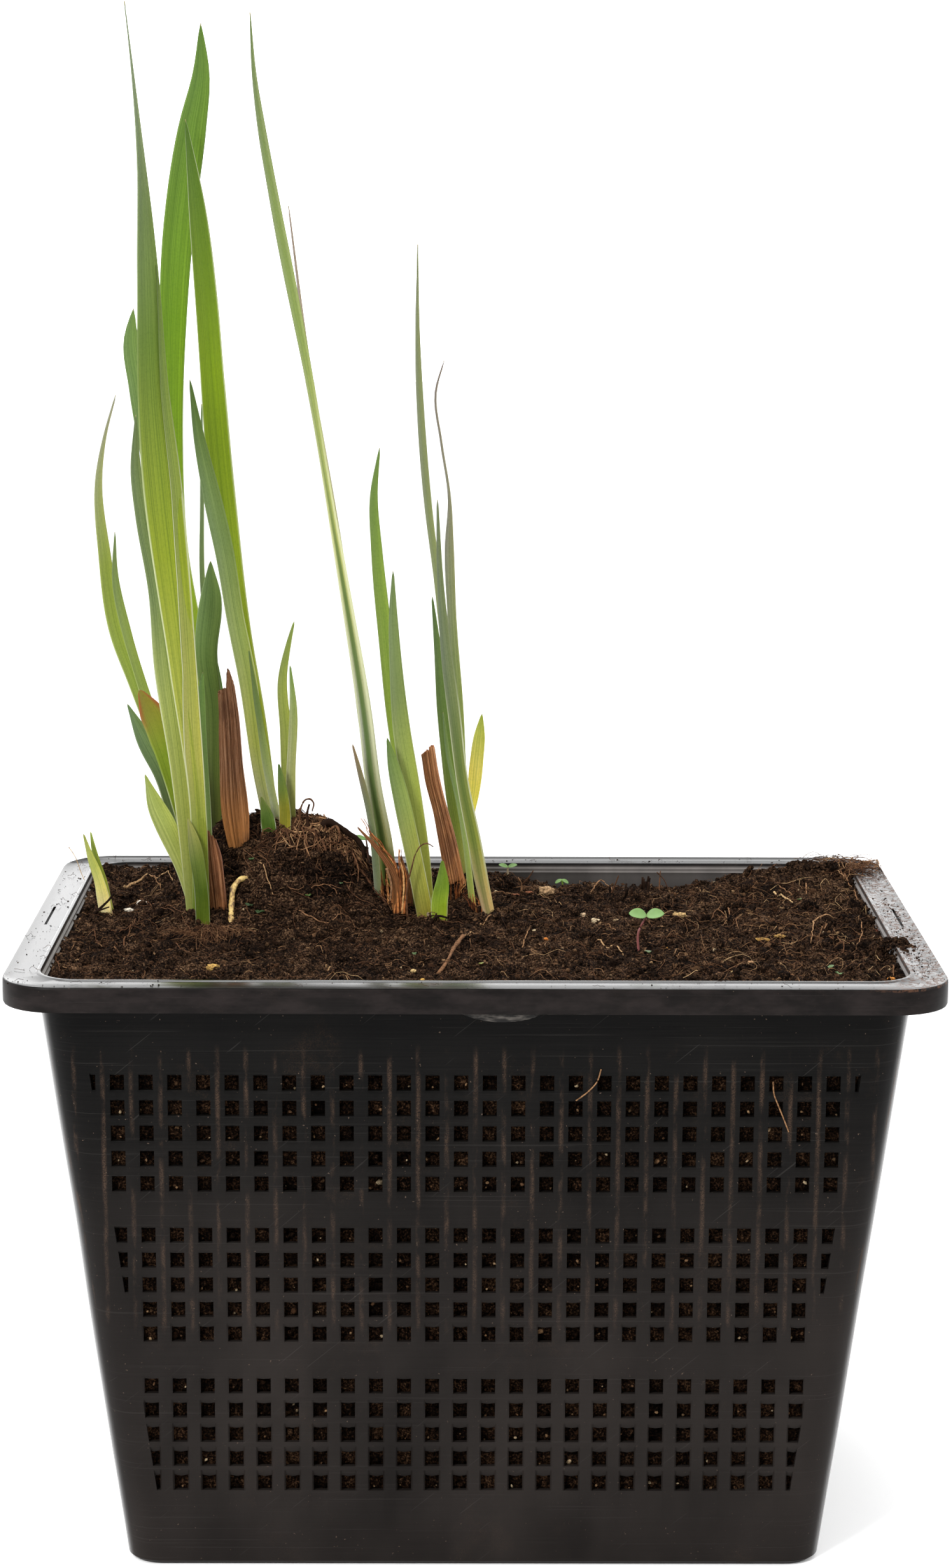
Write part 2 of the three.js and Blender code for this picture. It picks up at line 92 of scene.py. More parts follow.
# How many there are of each kind of bit on the soil and on the rim
NUMBERS = {
    "crumbs": 700, "small_crumbs": 4000, "clods": 420, "grains": 12000, "flakes": 1500,
    "fibres": 640, "mound_fibres": 190, "threads": 3500, "pale_threads": 420, "front_roots": 170,
    "brow_roots": 300, "tuft_roots": 16, "rim_dust": 1100, "rim_heap": 150, "wall_heap": 500,
    "back_peak": 120, "corner_crumbs": 420, "corner_tangle": 230, "rim_hairs": 60,
}
# Where some of them gather: the middle in x and the spread there, then the same in y
CLOD_PLACE = (-58, 20, 20, 16)
FLAKE_PLACE = (-60, 22, 22, 20)
MOUND_FIBRE_PLACE = (-48, 19, 26, 15)
RIM_HEAP_PLACE = (140.5, 2.2, -36, 5)
CORNER_TANGLE_PLACE = (136, 6, 82, 7)
# The feet of the wiry tufts, on the mound and by the lone and middle shoots
TUFT_FEET = [(-71, 25), (-66, 29), (-77, 20), (-12, 8), (-28, 18)]
# Where the fine roots of the front shoots spread from, and how far out fibres may lie
FRONT_ROOTS = {"x": -89, "y": -12}
FIBRE_LIMIT = {"x": 136, "y": 85.5}

# The camera, as fitted to the photograph's whole frame
CAMERA = {"x": -7.403, "y": -1085.1, "z": 450.944, "yaw": 0.411, "pitch": 10.683, "roll": 0.241}
SENSOR = 36
FOCAL_LENGTH = 74.7


# Colours and node trees


def colour(red, green, blue):
    """A screen colour from 0 to 255 as the linear colour that shaders take."""
    linear = [((c / 255 + 0.055) / 1.055) ** 2.4 if c > 10 else c / 255 / 12.92 for c in (red, green, blue)]
    return (*linear, 1.0)


class Tree:
    """The node tree of a new material, or of the given world, with short ways to write its nodes."""

    def __init__(self, name, world=None):
        self.owner = world or bpy.data.materials.new(name)
        self.owner.use_nodes = True
        self.nodes = self.owner.node_tree.nodes
        self.links = self.owner.node_tree.links
        self.nodes.clear()
        self.place = self.add("ShaderNodeTexCoord").outputs["Generated" if world else "Object"]

    def add(self, kind, inputs=None, **settings):
        """A new node; its inputs are values or other nodes' outputs."""
        node = self.nodes.new(kind)
        for key, value in settings.items():
            setattr(node, key, value)
        for key, value in (inputs or {}).items():
            if isinstance(value, bpy.types.NodeSocket):
                self.links.new(value, node.inputs[key])
            else:
                node.inputs[key].default_value = value
        return node

    def math(self, operation, a, b=0.0, clamp=False):
        return self.add("ShaderNodeMath", {0: a, 1: b}, operation=operation, use_clamp=clamp).outputs[0]

    def times(self, first, *others):
        """The product of all the values."""
        for other in others:
            first = self.math("MULTIPLY", first, other)
        return first

    def plus(self, a, b, clamp=False):
        return self.math("ADD", a, b, clamp)

    def largest(self, first, *others):
        for other in others:
            first = self.math("MAXIMUM", first, other)
        return first

    def size(self, value):
        return self.math("ABSOLUTE", value)

    def smooth(self, value, low, high):
        """0 below low, 1 above high and smooth between; low may be the larger."""
        inputs = {"Value": value, "From Min": low, "From Max": high}
        return self.add("ShaderNodeMapRange", inputs, interpolation_type="SMOOTHSTEP").outputs[0]

    def scaled(self, vector, x, y, z):
        inputs = {0: vector, 1: (x, y, z)}
        return self.add("ShaderNodeVectorMath", inputs, operation="MULTIPLY").outputs[0]

    def split(self, vector):
        """A vector's x, y and z."""
        return self.add("ShaderNodeSeparateXYZ", {0: vector}).outputs

    def noise(self, vector, scale, detail, roughness):
        inputs = {"Vector": vector, "Scale": scale, "Detail": detail, "Roughness": roughness}
        return self.add("ShaderNodeTexNoise", inputs).outputs["Fac"]

    def mix(self, share, a, b):
        """Colour a where share is 0, and colour b where it is 1."""
        return self.add("ShaderNodeMix", {0: share, 6: a, 7: b}, data_type="RGBA").outputs[2]

    def coated(self, tint, coats):
        """The tint with each coat's colour over it, by the coat's share."""
        for share, coat in coats:
            tint = self.mix(share, tint, coat)
        return tint

    def ramp(self, value, stops):
        node = self.add("ShaderNodeValToRGB", {0: value})
        elements = node.color_ramp.elements
        while len(elements) < len(stops):
            elements.new(0.5)
        for element, (position, rgba) in zip(elements, stops):
            element.position = position
            element.color = rgba
        return node.outputs["Color"]

    def stored(self, name, output="Fac"):
        """A value that is stored on the mesh."""
        return self.add("ShaderNodeAttribute", attribute_name=name).outputs[output]

    def bump(self, height, strength, distance):
        """Relief from a height; the distance is in millimetres."""
        inputs = {"Height": height, "Strength": strength, "Distance": distance * MM}
        return self.add("ShaderNodeBump", inputs).outputs["Normal"]

    def finish(self, inputs, through=0.0, behind=None):
        """The finished material: a surface that lets a share of the light through."""
        shader = self.add("ShaderNodeBsdfPrincipled", inputs).outputs[0]
        if through:
            glow = self.add("ShaderNodeBsdfTranslucent", behind).outputs[0]
            shader = self.add("ShaderNodeMixShader", {0: through, 1: shader, 2: glow}).outputs[0]
        self.add("ShaderNodeOutputMaterial", {"Surface": shader})
        return self.owner


# Meshes


def add_piece(name, mesh, material, replaced=(), smooth=True):
    """Puts a finished mesh into the scene as a piece of the object."""
    piece = bpy.data.objects.new(name, mesh)
    bpy.context.scene.collection.objects.link(piece)
    mesh.materials.append(material)
    if smooth:
        mesh.shade_smooth()
    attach(piece, "root")
    if replaced:
        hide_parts(*replaced)


def to_mesh(name, points, faces, values=None):
    """A mesh from points in millimetres, with the named values stored on its points."""
    mesh = bpy.data.meshes.new(name)
    mesh.from_pydata((np.asarray(points, float) * MM).tolist(), [], faces)
    for key, data in (values or {}).items():
        data = np.asarray(data, np.float32)
        kind = "FLOAT_VECTOR" if data.ndim == 2 else "FLOAT"
        attribute = mesh.attributes.new(key, kind, "POINT")
        attribute.data.foreach_set("vector" if data.ndim == 2 else "value", data.ravel())
    mesh.update()
    return mesh


def tidy(mesh, sharp=35):
    """Merges points that fell together, turns all faces outwards and marks the sharp edges."""
    bm = bmesh.new()
    bm.from_mesh(mesh)
    bmesh.ops.remove_doubles(bm, verts=bm.verts, dist=1e-6)
    bmesh.ops.dissolve_degenerate(bm, edges=bm.edges, dist=1e-7)
    bmesh.ops.recalc_face_normals(bm, faces=bm.faces)
    limit = math.radians(sharp)
    for edge in bm.edges:
        if len(edge.link_faces) == 2 and edge.calc_face_angle() > limit:
            edge.smooth = False
    bm.to_mesh(mesh)
    bm.free()
    return mesh


def gather(parts):
    """Joins (points, faces, tone) parts into one set of points, faces and tones."""
    points, faces, tones = [], [], []
    start = 0
    for part_points, part_faces, tone in parts:
        points.append(part_points)
        faces.extend((np.asarray(part_faces) + start).tolist())
        tones.append(np.full(len(part_points), tone) if np.isscalar(tone) else tone)
        start += len(part_points)
    return np.concatenate(points), faces, np.concatenate(tones)


def add_parts(name, parts, material, value="tone", smooth=True):
    """Joins the parts into one mesh, with the value stored on it, and adds it as a piece."""
    points, faces, values = gather(parts)
    add_piece(name, to_mesh(name, points, faces, {value: values}), material, smooth=smooth)


def band_faces(rings, sides):
    """Four-sided faces between rings of points that follow one another, closed at both ends."""
    faces = []
    for r in range(rings - 1):
        for k in range(sides):
            a, b = r * sides + k, r * sides + (k + 1) % sides
            faces.append((a, b, b + sides, a + sides))
    faces.append(tuple(reversed(range(sides))))
    faces.append(tuple((rings - 1) * sides + k for k in range(sides)))
    return faces


def tube_triangles(rings, sides):
    """The same in triangles, for the thin tubes and small leaves."""
    faces = []
    for r in range(rings - 1):
        for k in range(sides):
            a, b = r * sides + k, r * sides + (k + 1) % sides
            faces += [(a, b, b + sides), (a, b + sides, a + sides)]
    last = (rings - 1) * sides
    for k in range(1, sides - 1):
        faces += [(0, k + 1, k), (last, last + k, last + k + 1)]
    return faces


# The basket


def body(z):
    """The body's outer half sizes and corner radius at height z."""
    share = z / HEIGHT
    return {key: BODY_FOOT[key] + (BODY_TOP[key] - BODY_FOOT[key]) * share for key in BODY_FOOT}


def between(a, b, share):
    """Sizes part of the way from a to b."""
    return {key: a[key] + (b[key] - a[key]) * share for key in a}


def wall_levels(key):
    """Lines along a wall: for each column of holes (column, part), where the parts are the line just
    before the hole, its near side, its middle, its far side and the line just after it."""
    count = HOLE_COLUMNS[key]
    offsets = [-HOLE_WIDTH / 2 - EDGE, -HOLE_WIDTH / 2, 0, HOLE_WIDTH / 2, HOLE_WIDTH / 2 + EDGE]
    return [((k + 0.5) * COLUMN_PITCH + offset, k, part)
            for k in range(-count, count) for part, offset in enumerate(offsets)]


def outline():
    """Places round the basket, counter-clockwise from the front wall's left end."""
    places = []
    for wall in range(4):
        key = "x" if wall % 2 == 0 else "y"
        for level, column, part in wall_levels(key):
            places.append({"wall": wall, "level": level, "column": column, "part": part})
        for step in range(CORNER_STEPS + 1):
            places.append({"wall": wall, "turn": step / CORNER_STEPS * math.pi / 2})
    return places


def wall_directions(wall):
    """The directions along a wall and out of it."""
    angle = wall * math.pi / 2
    along = np.array([math.cos(angle), math.sin(angle)])
    return along, np.array([along[1], -along[0]])


def ring(places, size, inset=0.0, limit=None):
    """The outline's points at one height, for a rounded rectangle moved in by inset, and the
    directions that point out of it."""
    points = np.zeros((len(places), 2))
    outward = np.zeros((len(places), 2))
    half = {"x": size["x"] - inset, "y": size["y"] - inset}
    corner = max(size["corner"] - inset / 2, 0.5)
    for i, place in enumerate(places):
        along, normal = wall_directions(place["wall"])
        far, near = (half["x"], half["y"]) if place["wall"] % 2 == 0 else (half["y"], half["x"])
        if "turn" in place:
            turned = normal * math.cos(place["turn"]) + along * math.sin(place["turn"])
            points[i] = normal * (near - corner) + along * (far - corner) + turned * corner
            outward[i] = turned
        else:
            most = far - corner if limit is None else min(far - limit, far - corner)
            points[i] = normal * near + along * np.clip(place["level"], -most, most)
            outward[i] = normal
    return points, outward


def rows_of_holes():
    """Every row of holes from the lowest up: its foot, its top and how far its bar is rounded."""
    rows = []
    for band in BANDS:
        for row in range(ROWS):
            centre = band["top"] - row * ROW_PITCH
            rows.append({"foot": centre - HOLE_HEIGHT / 2, "top": centre + HOLE_HEIGHT / 2,
                         "rounding": band["rounding"][row]})
    return sorted(rows, key=lambda row: row["foot"])


def wall_heights(rows):
    """Heights of the grid's lines on the walls as (z, row, part). The parts are the line just under
    the hole, its foot, its top and the line above its rounded bar."""
    heights = [(0, None, None), (FOOT_CHAMFER, None, None), (12, None, None)]
    for row in rows:
        heights.append((row["foot"] - EDGE, row, 0))
        heights.append((row["foot"], row, 1))
        heights.append((row["top"], row, 2))
        heights.append((row["top"] + row["rounding"], row, 3))
    for z in (71, 75, 122, 126, 172, 178, 184, 190, 195, 198):
        heights.append((z, None, None))
    return sorted(heights, key=lambda height: height[0])


def has_hole(place, row):
    """Whether the slanted border of the mesh leaves room for this hole."""
    if place.get("part") not in (1, 2) or row is None:
        return False
    centre = abs((place["column"] + 0.5) * COLUMN_PITCH)
    far = body(row["foot"])["x" if place["wall"] % 2 == 0 else "y"] - MESH_INSET
    return min(centre + HOLE_WIDTH / 2, far) - (centre - HOLE_WIDTH / 2) > LEAST_HOLE


# The rim's section as (share of the way from the lip to the skirt, height): first the flange's
# underside, then round the skirt, over the top and down to the inner lip
UNDER_FLANGE = [(0.17, 198.0), (RIM_SLIT["inner"], 198.0), (RIM_SLIT["outer"], 198.0)]
RIM_PROFILE = [
    (0.86, 198.0), (0.87, 192.5), (0.89, 191.9), (0.985, 191.8), (1.0, 192.4), (1.0, 195.5),
    (1.0, 199.0), (0.988, 199.7), (0.965, 200.0), (0.93, 199.95), (0.90, 199.7),
    (RIM_SLIT["outer"], 199.6), (RIM_SLIT["inner"], 199.6), (0.15, 199.6), (0.12, 199.9),
    (0.08, 200.0), (0.03, 199.9), (0.0, 199.4), (0.0, 198.6), (-0.03, 198.35), (-0.06, 198.1),
    (-0.06, 197.3), (-0.08, 197.05), (-0.11, 196.85)]
LIP_RINGS = 6


def bar_shape(places, row, part):
    """How far the bars round a row's holes are sunk into the wall, and how far they sag."""
    push = np.zeros(len(places))
    sag = np.zeros(len(places))
    for i, place in enumerate(places):
        if place.get("part") not in (1, 2, 3) or not has_hole({**place, "part": 1}, row):
            continue
        middle = place["part"] == 2
        if part == 1:
            push[i] = -BAR_SUNK
        elif part == 2:
            push[i] = -(BAR_SUNK + 0.55 * row["rounding"]) * (1 if middle else 0.8)
            sag[i] = -0.28 * row["rounding"] if middle else 0
    return push, sag


def wall_rings(places, heights):
    """The rings of points of the wall's outside and inside, slightly dented as moulded walls are."""
    outer, inner = [], []
    for z, row, part in heights:
        inset = FOOT_CHAMFER if z == 0 else 0
        flat, outward = ring(places, body(z), inset, MESH_INSET)
        inside, _ = ring(places, body(z), WALL, MESH_INSET - WALL)
        push, sag = bar_shape(places, row, part) if row else (0, np.zeros(len(places)))
        dent = np.array([DENT * noise.noise(Vector((x / DENT_LENGTH, y / DENT_LENGTH, z / DENT_LENGTH)))
                         for x, y in flat])
        dent *= np.clip(z / DENT_FADE, 0, 1) * np.clip((HEIGHT - z) / DENT_FADE, 0, 1)
        flat = flat + outward * (push + dent)[:, None]
        outer.append(np.column_stack([flat, z + sag]))
        inner.append(np.column_stack([inside + outward * dent[:, None], np.maximum(z + sag, WALL)]))
    return outer, inner


def rim_rings(places):
    """The rings of points of the flange and skirt, whose lower edge waves a little."""
    turns = [i / len(places) * math.tau for i in range(len(places))]
    wave = np.array([noise.noise(Vector((0.6 * math.cos(a) + 3, 0.6 * math.sin(a), 0))) for a in turns])
    rings = []
    for share, z in UNDER_FLANGE + RIM_PROFILE:
        flat, _ = ring(places, between(LIP, RIM, share))
        rings.append(np.column_stack([flat, z + wave * (SKIRT_WAVE if z < SKIRT_FOOT + 1 else 0)]))
    return rings


def in_slit(place):
    """Whether a place on an end wall lies within the slit in the rim."""
    if place["wall"] % 2 == 0 or "level" not in place:
        return False
    return RIM_SLIT["from_y"] < place["level"] * (1 if place["wall"] == 1 else -1) < RIM_SLIT["to_y"]


def drain_slots():
    """The four corners of each drain slot in the floor."""
    slots = []
    half_x, half_y = DRAIN["width"] / 2, DRAIN["length"] / 2
    for row in range(DRAIN["rows"]):
        for column in range(DRAIN["columns"]):
            x = (column - (DRAIN["columns"] - 1) / 2) * DRAIN["pitch_x"]
            y = (row - (DRAIN["rows"] - 1) / 2) * DRAIN["pitch_y"]
            slots.append([(x - half_x, y - half_y), (x + half_x, y - half_y),
                          (x + half_x, y + half_y), (x - half_x, y + half_y)])
    return slots


def floor_faces(points, start, loops):
    """The floor's two sides and the walls of its slots; loops are the outlines of its two sides."""
    slots = drain_slots()
    per_side = 4 * len(slots)
    faces = []
    for side, loop in enumerate(loops):
        outlines = [[Vector((*points[i][:2], 0)) for i in loop]]
        outlines += [[Vector((x, y, 0)) for x, y in slot] for slot in slots]
        shift = start - len(loop) + per_side * side
        for triangle in tessellate_polygon(outlines):
            faces.append(tuple(loop[v] if v < len(loop) else v + shift for v in triangle))
    for slot in range(len(slots)):
        for side in range(4):
            a = start + slot * 4 + side
            b = start + slot * 4 + (side + 1) % 4
            faces.append((a, b, b + per_side, a + per_side))
    return faces


def make_basket():
    """The basket as one closed skin: up its outside, round the rim and down its inside."""
    places = outline()
    count = len(places)
    heights = wall_heights(rows_of_holes())
    outer, inner = wall_rings(places, heights)
    rim = rim_rings(places)
    # The outer wall ends under the flange, so the inner wall's rings above the lip are left out
    kept = [j for j, (z, _, _) in enumerate(heights) if z < LIP_FOOT]
    stack = outer + rim + [inner[j] for j in reversed(kept)]
    inner_level = {j: len(outer) + len(rim) + len(kept) - 1 - k for k, j in enumerate(kept)}

    # The cells left open for the holes, which lie above the rows' feet, and for the slits
    holes = {(j, i) for j, (_, row, part) in enumerate(heights) if part == 1
             for i, place in enumerate(places) if has_hole(place, row)}
    section = UNDER_FLANGE + RIM_PROFILE
    under = len(outer) + section.index((RIM_SLIT["inner"], 198.0))
    over = len(outer) + section.index((RIM_SLIT["outer"], 199.6))
    slits = {i for i, place in enumerate(places) if in_slit(place) and in_slit(places[i + 1])}
    open_cells = holes | {(inner_level[j + 1], i) for j, i in holes}
    open_cells |= {(level, i) for level in (under, over) for i in slits}

    def at(level, i):
        return level * count + i % count

    faces = [(at(level, i), at(level, i + 1), at(level + 1, i + 1), at(level + 1, i))
             for level in range(len(stack) - 1) for i in range(count) if (level, i) not in open_cells]

    def add_reveal(i, near, far, open_before, open_after):
        """Joins the two skins round an opening, between their lower and upper levels."""
        for a, b in zip(near, far):
            faces.append((at(a, i), at(a, i + 1), at(b, i + 1), at(b, i)))
        for side, is_open in ((i, open_before), (i + 1, open_after)):
            if not is_open:
                faces.append((at(near[0], side), at(near[1], side), at(far[1], side), at(far[0], side)))

    for j, i in holes:
        far = (inner_level[j], inner_level[j + 1])
        add_reveal(i, (j, j + 1), far, (j, i - 1) in holes, (j, i + 1) in holes)
    for i in slits:
        add_reveal(i, (under, under + 1), (over + 1, over), i - 1 in slits, i + 1 in slits)

    points = np.concatenate(stack)
    start = len(points)
    loops = [[at(level, i) for i in range(count)] for level in (0, len(stack) - 1)]
    faces += floor_faces(points, start, loops)
    slot_points = [(x, y, z) for z in (0, WALL) for slot in drain_slots() for x, y in slot]
    points = np.concatenate([points, slot_points])
    inner_side = np.zeros(len(points))
    inner_side[(len(outer) + len(rim) - LIP_RINGS) * count:start] = 1
    mesh = tidy(to_mesh("basket_moulding", points, faces, {"inner_side": inner_side}))
    add_piece("basket_moulding", mesh, plastic_material(), ["basket"])


def plastic_material():
    """Satin black plastic with scratches, dust and a painted highlight on the ribs between the holes,
    painted light on the lower walls, dust with a painted reflection on the inner walls' top, soil rubbed
    over the right side of the rim, and a glossy top to the rim."""
    t = Tree("basket_plastic")
    x, y, z = t.split(t.place)
    nx, ny, nz = t.split(t.add("ShaderNodeNewGeometry").outputs["Normal"])
    inner_side = t.stored("inner_side")
    outer_side = t.smooth(inner_side, 0.9, 0.1)

    def ramped(value, low, high):
        """0 at low millimetres and 1 at high ones; low may be the larger."""
        return t.smooth(value, low * MM, high * MM)

    # Dust and a painted highlight on the upright ribs, smears, specks and scratches
    faces_front = t.math("GREATER_THAN", t.size(ny), t.size(nx))
    along = t.add("ShaderNodeMix", {0: faces_front, 2: y, 3: x}).outputs[0]
    rib = ramped(t.math("PINGPONG", along, COLUMN_PITCH / 2 * MM), 1.1, 0.1)
    rib = t.times(rib, t.times(ramped(z, 80, 88), ramped(z, 180, 172)), t.smooth(t.size(nz), 0.6, 0.3))
    streak = t.smooth(t.noise(t.scaled(t.place, 1, 1, 0.35), 190, 4, 0.65), 0.42, 0.66)
    grain = t.noise(t.place, 3000, 3, 0.7)
    dust = t.times(rib, streak, t.smooth(grain, 0.36, 0.64))
    smear = t.times(t.smooth(t.noise(t.place, 42, 5, 0.7), 0.56, 0.74), t.smooth(grain, 0.45, 0.62))
    specks = t.smooth(t.noise(t.place, 1100, 2, 0.5), 0.735, 0.76)
    brushed = t.noise(t.scaled(t.place, 26, 26, 2600), 1.0, 3, 0.6)
    lines = t.smooth(t.noise(t.scaled(t.place, 14, 14, 1500), 1.0, 2, 0.5), 0.64, 0.70)
    crossing = t.add("ShaderNodeVectorRotate", {"Vector": t.place, "Angle": 0.7}, rotation_type="Y_AXIS")
    slanted = t.smooth(t.noise(t.scaled(crossing.outputs[0], 40, 40, 1700), 1.0, 1, 0.5), 0.74, 0.77)
    scratches = t.plus(t.times(lines, 0.35), t.times(slanted, 0.6), True)

    # The black itself is cloudy, and the coats lie over it in turn: dirt, and painted light on the ribs, the
    # lower walls and the inner walls' top
    cloud = t.noise(t.scaled(t.place, 1, 1, 0.5), 22, 3, 0.6)
    shade = t.plus(t.times(cloud, 0.6), t.times(brushed, 0.5))
    on_skirt = t.times(ramped(z, 191, 192), t.smooth(t.size(nz), 0.7, 0.4), outer_side)
    smudges = t.plus(t.smooth(t.noise(t.scaled(t.place, 1, 1, 2.5), 60, 4, 0.65), 0.35, 0.7), 0.35)
    streaky = t.noise(t.scaled(t.place, 90, 90, 12), 1.0, 3, 0.6)
    rubbed = t.times(ramped(x, 118, 141), ramped(z, 199, 199.4),
                     t.smooth(t.noise(t.place, 520, 4, 0.75), 0.49, 0.56))
    # Dust with a painted reflection: the inner walls turn pale and streaky towards the rim
    inner_dust_and_reflection = t.times(inner_side, ramped(z, 184, 199), t.plus(t.times(streaky, 0.6), 0.3))
    tint = t.coated(t.ramp(shade, [(0.36, colour(4, 4, 4)), (0.72, colour(14, 13, 12))]), [
        (t.times(scratches, 0.2), colour(80, 77, 74)),
        (t.times(smear, 0.12), colour(90, 72, 58)),
        # Painted highlight: a lighter band along each rib's core
        (t.times(rib, streak, 0.25), colour(36, 30, 26)),
        (t.times(dust, 0.42), colour(92, 72, 58)),
        (t.times(specks, 0.4), colour(112, 94, 80)),
        # Painted light: the walls are coated lighter towards their foot
        (t.times(ramped(z, 175, 50), cloud, 0.55), colour(54, 48, 45)),
        (t.times(on_skirt, smudges, 0.5), colour(36, 31, 30)),
        (inner_dust_and_reflection, colour(112, 107, 104)),
        (t.times(rubbed, 0.9), colour(72, 50, 38))])
    rough = t.plus(t.times(cloud, 0.16), 0.3)
    rough = t.plus(rough, t.times(t.plus(dust, smear), 0.5), True)
    rough = t.plus(rough, t.times(scratches, 0.12), True)
    relief = t.plus(t.times(scratches, -0.3), t.times(dust, 0.6))
    relief = t.plus(relief, t.times(t.noise(t.place, 260, 3, 0.6), 0.35))

    # Only the rim's flat top is glossy, less so at the back and where soil was rubbed over it,
    # and so are the rounded corners, where they turn away from the front
    worn = t.smooth(t.noise(t.place, 160, 4, 0.7), 0.34, 0.60)
    dull = t.largest(
        t.times(ramped(x, 120, 143), worn, 0.45), t.times(ramped(y, 60, 92), 0.35), t.times(rubbed, 0.95),
        t.times(ramped(y, 96.5, 94.5), ramped(y, 86, 88), 0.8), t.times(ramped(y, -91.5, -95.5), 0.6),
        t.times(ramped(y, -97.6, -98.6), 0.95), t.times(smear, 0.5))
    top = t.times(ramped(z, 191, 192), t.math("SUBTRACT", 1.0, dull), t.smooth(nz, 0.5, 0.75), outer_side)
    corners = t.times(t.smooth(t.size(nx), 0.72, 0.98), ramped(z, 191, 189), outer_side, 0.8)
    return t.finish({
        "Base Color": tint, "Roughness": rough, "Specular IOR Level": 0.04,
        "Coat Weight": t.largest(top, corners), "Coat Roughness": 0.2, "Coat IOR": 1.5,
        "Normal": t.bump(relief, 0.35, 0.25)})


def make_flash():
    """The thin flash of plastic that hangs under the skirt's edge, off centre at the front."""
    from_x, deep_to, to_x = -4.5, 20, 41
    steps = 60
    points = []
    rng = np.random.default_rng(5)
    for share in np.arange(steps + 1) / steps:
        x = from_x + (to_x - from_x) * share
        deep = math.sin(min(max((x - from_x) / (deep_to - from_x), 0), 1) * math.pi) ** 0.7
        tail = 0.35 * math.sin(share * math.pi)
        depth = 2.5 * deep + tail + 0.12 * rng.random()
        for reach, drop in ((0, 0), (-0.25, 0.5), (0.1, 1), (0.28, 1), (0.0, 0.5), (0.35, 0)):
            points.append((x, -RIM["y"] + 0.3 + reach, SKIRT_FOOT + 0.1 - drop * depth))
    mesh = tidy(to_mesh("basket_flash", points, band_faces(steps + 1, 6)), 50)
    t = Tree("flash_plastic")
    streaks = t.noise(t.scaled(t.place, 200, 200, 900), 1.0, 3, 0.6)
    tint = t.mix(t.smooth(streaks, 0.4, 0.7), colour(16, 15, 14), colour(66, 62, 58))
    material = t.finish({"Base Color": tint, "Roughness": 0.4, "Specular IOR Level": 0.1})
    add_piece("basket_flash", mesh, material)


# The soil


def bump(distance, reach, power):
    """1 in the middle, falling to nothing past the reach."""
    return math.exp(-(abs(distance / reach) ** power))


def soil_height(x, y):
    """The height of the soil's surface at a place in the basket, as in the solid."""
    crown = bump(x + 70, 32 if x < -70 else 35.5, 4) * bump(y - 38, 30 if y < 38 else 34, 2.5)
    rise = bump(math.hypot(x + 3, y - 62), 16, 2)
    share = min(max((y - 60) / 28, 0), 1)
    hollow = bump(x - 50, 44, 4) * share * share * (3 - 2 * share)
    heap = bump(math.hypot(x - 124, y - 74), 17, 2)
    ripple = 0.8 * math.sin(x / 17 + 1) * math.cos(y / 13) + 0.5 * math.sin((x + 2 * y) / 11)
    return SOIL_LEVEL + 32 * crown + 6 * rise - 6.5 * hollow + 4 * heap + ripple


def rough_soil(x, y):
    """The soil's height with its clods and pits."""
    clods = noise.fractal(Vector((x / 8, y / 8, 1.7)), 0.9, 2.1, 4)
    pits = noise.noise(Vector((x / 2.6, y / 2.6, 5.1)))
    back_left = min(max((y - 52) / 26, 0), 1) * min(max((-66 - x) / 24, 0), 1)
    brow = bump(x + 55, 25, 2) * bump(y - 45, 20, 2)
    return soil_height(x, y) + CLODS * clods + PITS * pits + 3.0 * back_left - 3.0 * brow


def soil_material():
    """Peat: dark and crumbly, each bit lighter by its stored tone, with painted shade in its gaps and behind
    the holes.
    """
    t = Tree("peat_soil")
    tone = t.stored("tone")
    fine = t.noise(t.place, 1400, 4, 0.7)
    patches = t.noise(t.place, 60, 4, 0.6)
    mixed = t.plus(t.times(fine, 0.75), t.times(patches, 0.35))
    dark = t.ramp(mixed, [
        (0.40, colour(4, 3, 2)), (0.48, colour(20, 14, 10)), (0.55, colour(46, 33, 24)),
        (0.62, colour(86, 64, 47)), (0.72, colour(138, 110, 82))])
    piece_tint = t.ramp(tone, [
        (0.0, colour(10, 7, 5)), (0.5, colour(38, 26, 18)), (0.78, colour(82, 58, 41)),
        (0.88, colour(122, 92, 66)), (0.95, colour(164, 132, 96)), (0.985, colour(208, 186, 148))])
    share = t.smooth(tone, 0.02, 0.9)
    tint = t.mix(share, dark, piece_tint)
    tint = t.mix(t.times(t.smooth(fine, 0.62, 0.40), 0.5), tint, colour(8, 5, 4))
    # Painted shade: dark blotches stand for the shadowed gaps between clods
    gaps = t.smooth(t.noise(t.place, 170, 3, 0.6), 0.52, 0.40)
    tint = t.mix(t.times(gaps, 0.65), t.scaled(tint, 0.82, 0.80, 0.80), colour(9, 6, 5))
    # Painted shade: behind the holes the soil is darkened, but for its palest bits
    z = t.split(t.place)[2]
    deep = t.times(t.smooth(z, 192 * MM, 186 * MM), t.smooth(tone, 0.86, 0.74))
    tint = t.mix(t.times(deep, 0.8), tint, t.scaled(tint, 0.25, 0.22, 0.2))
    relief = t.plus(fine, t.noise(t.place, 420, 3, 0.6))
    return t.finish({"Base Color": tint, "Roughness": 0.95, "Specular IOR Level": 0.02,
                     "Normal": t.bump(relief, 1.0, 1.0)})


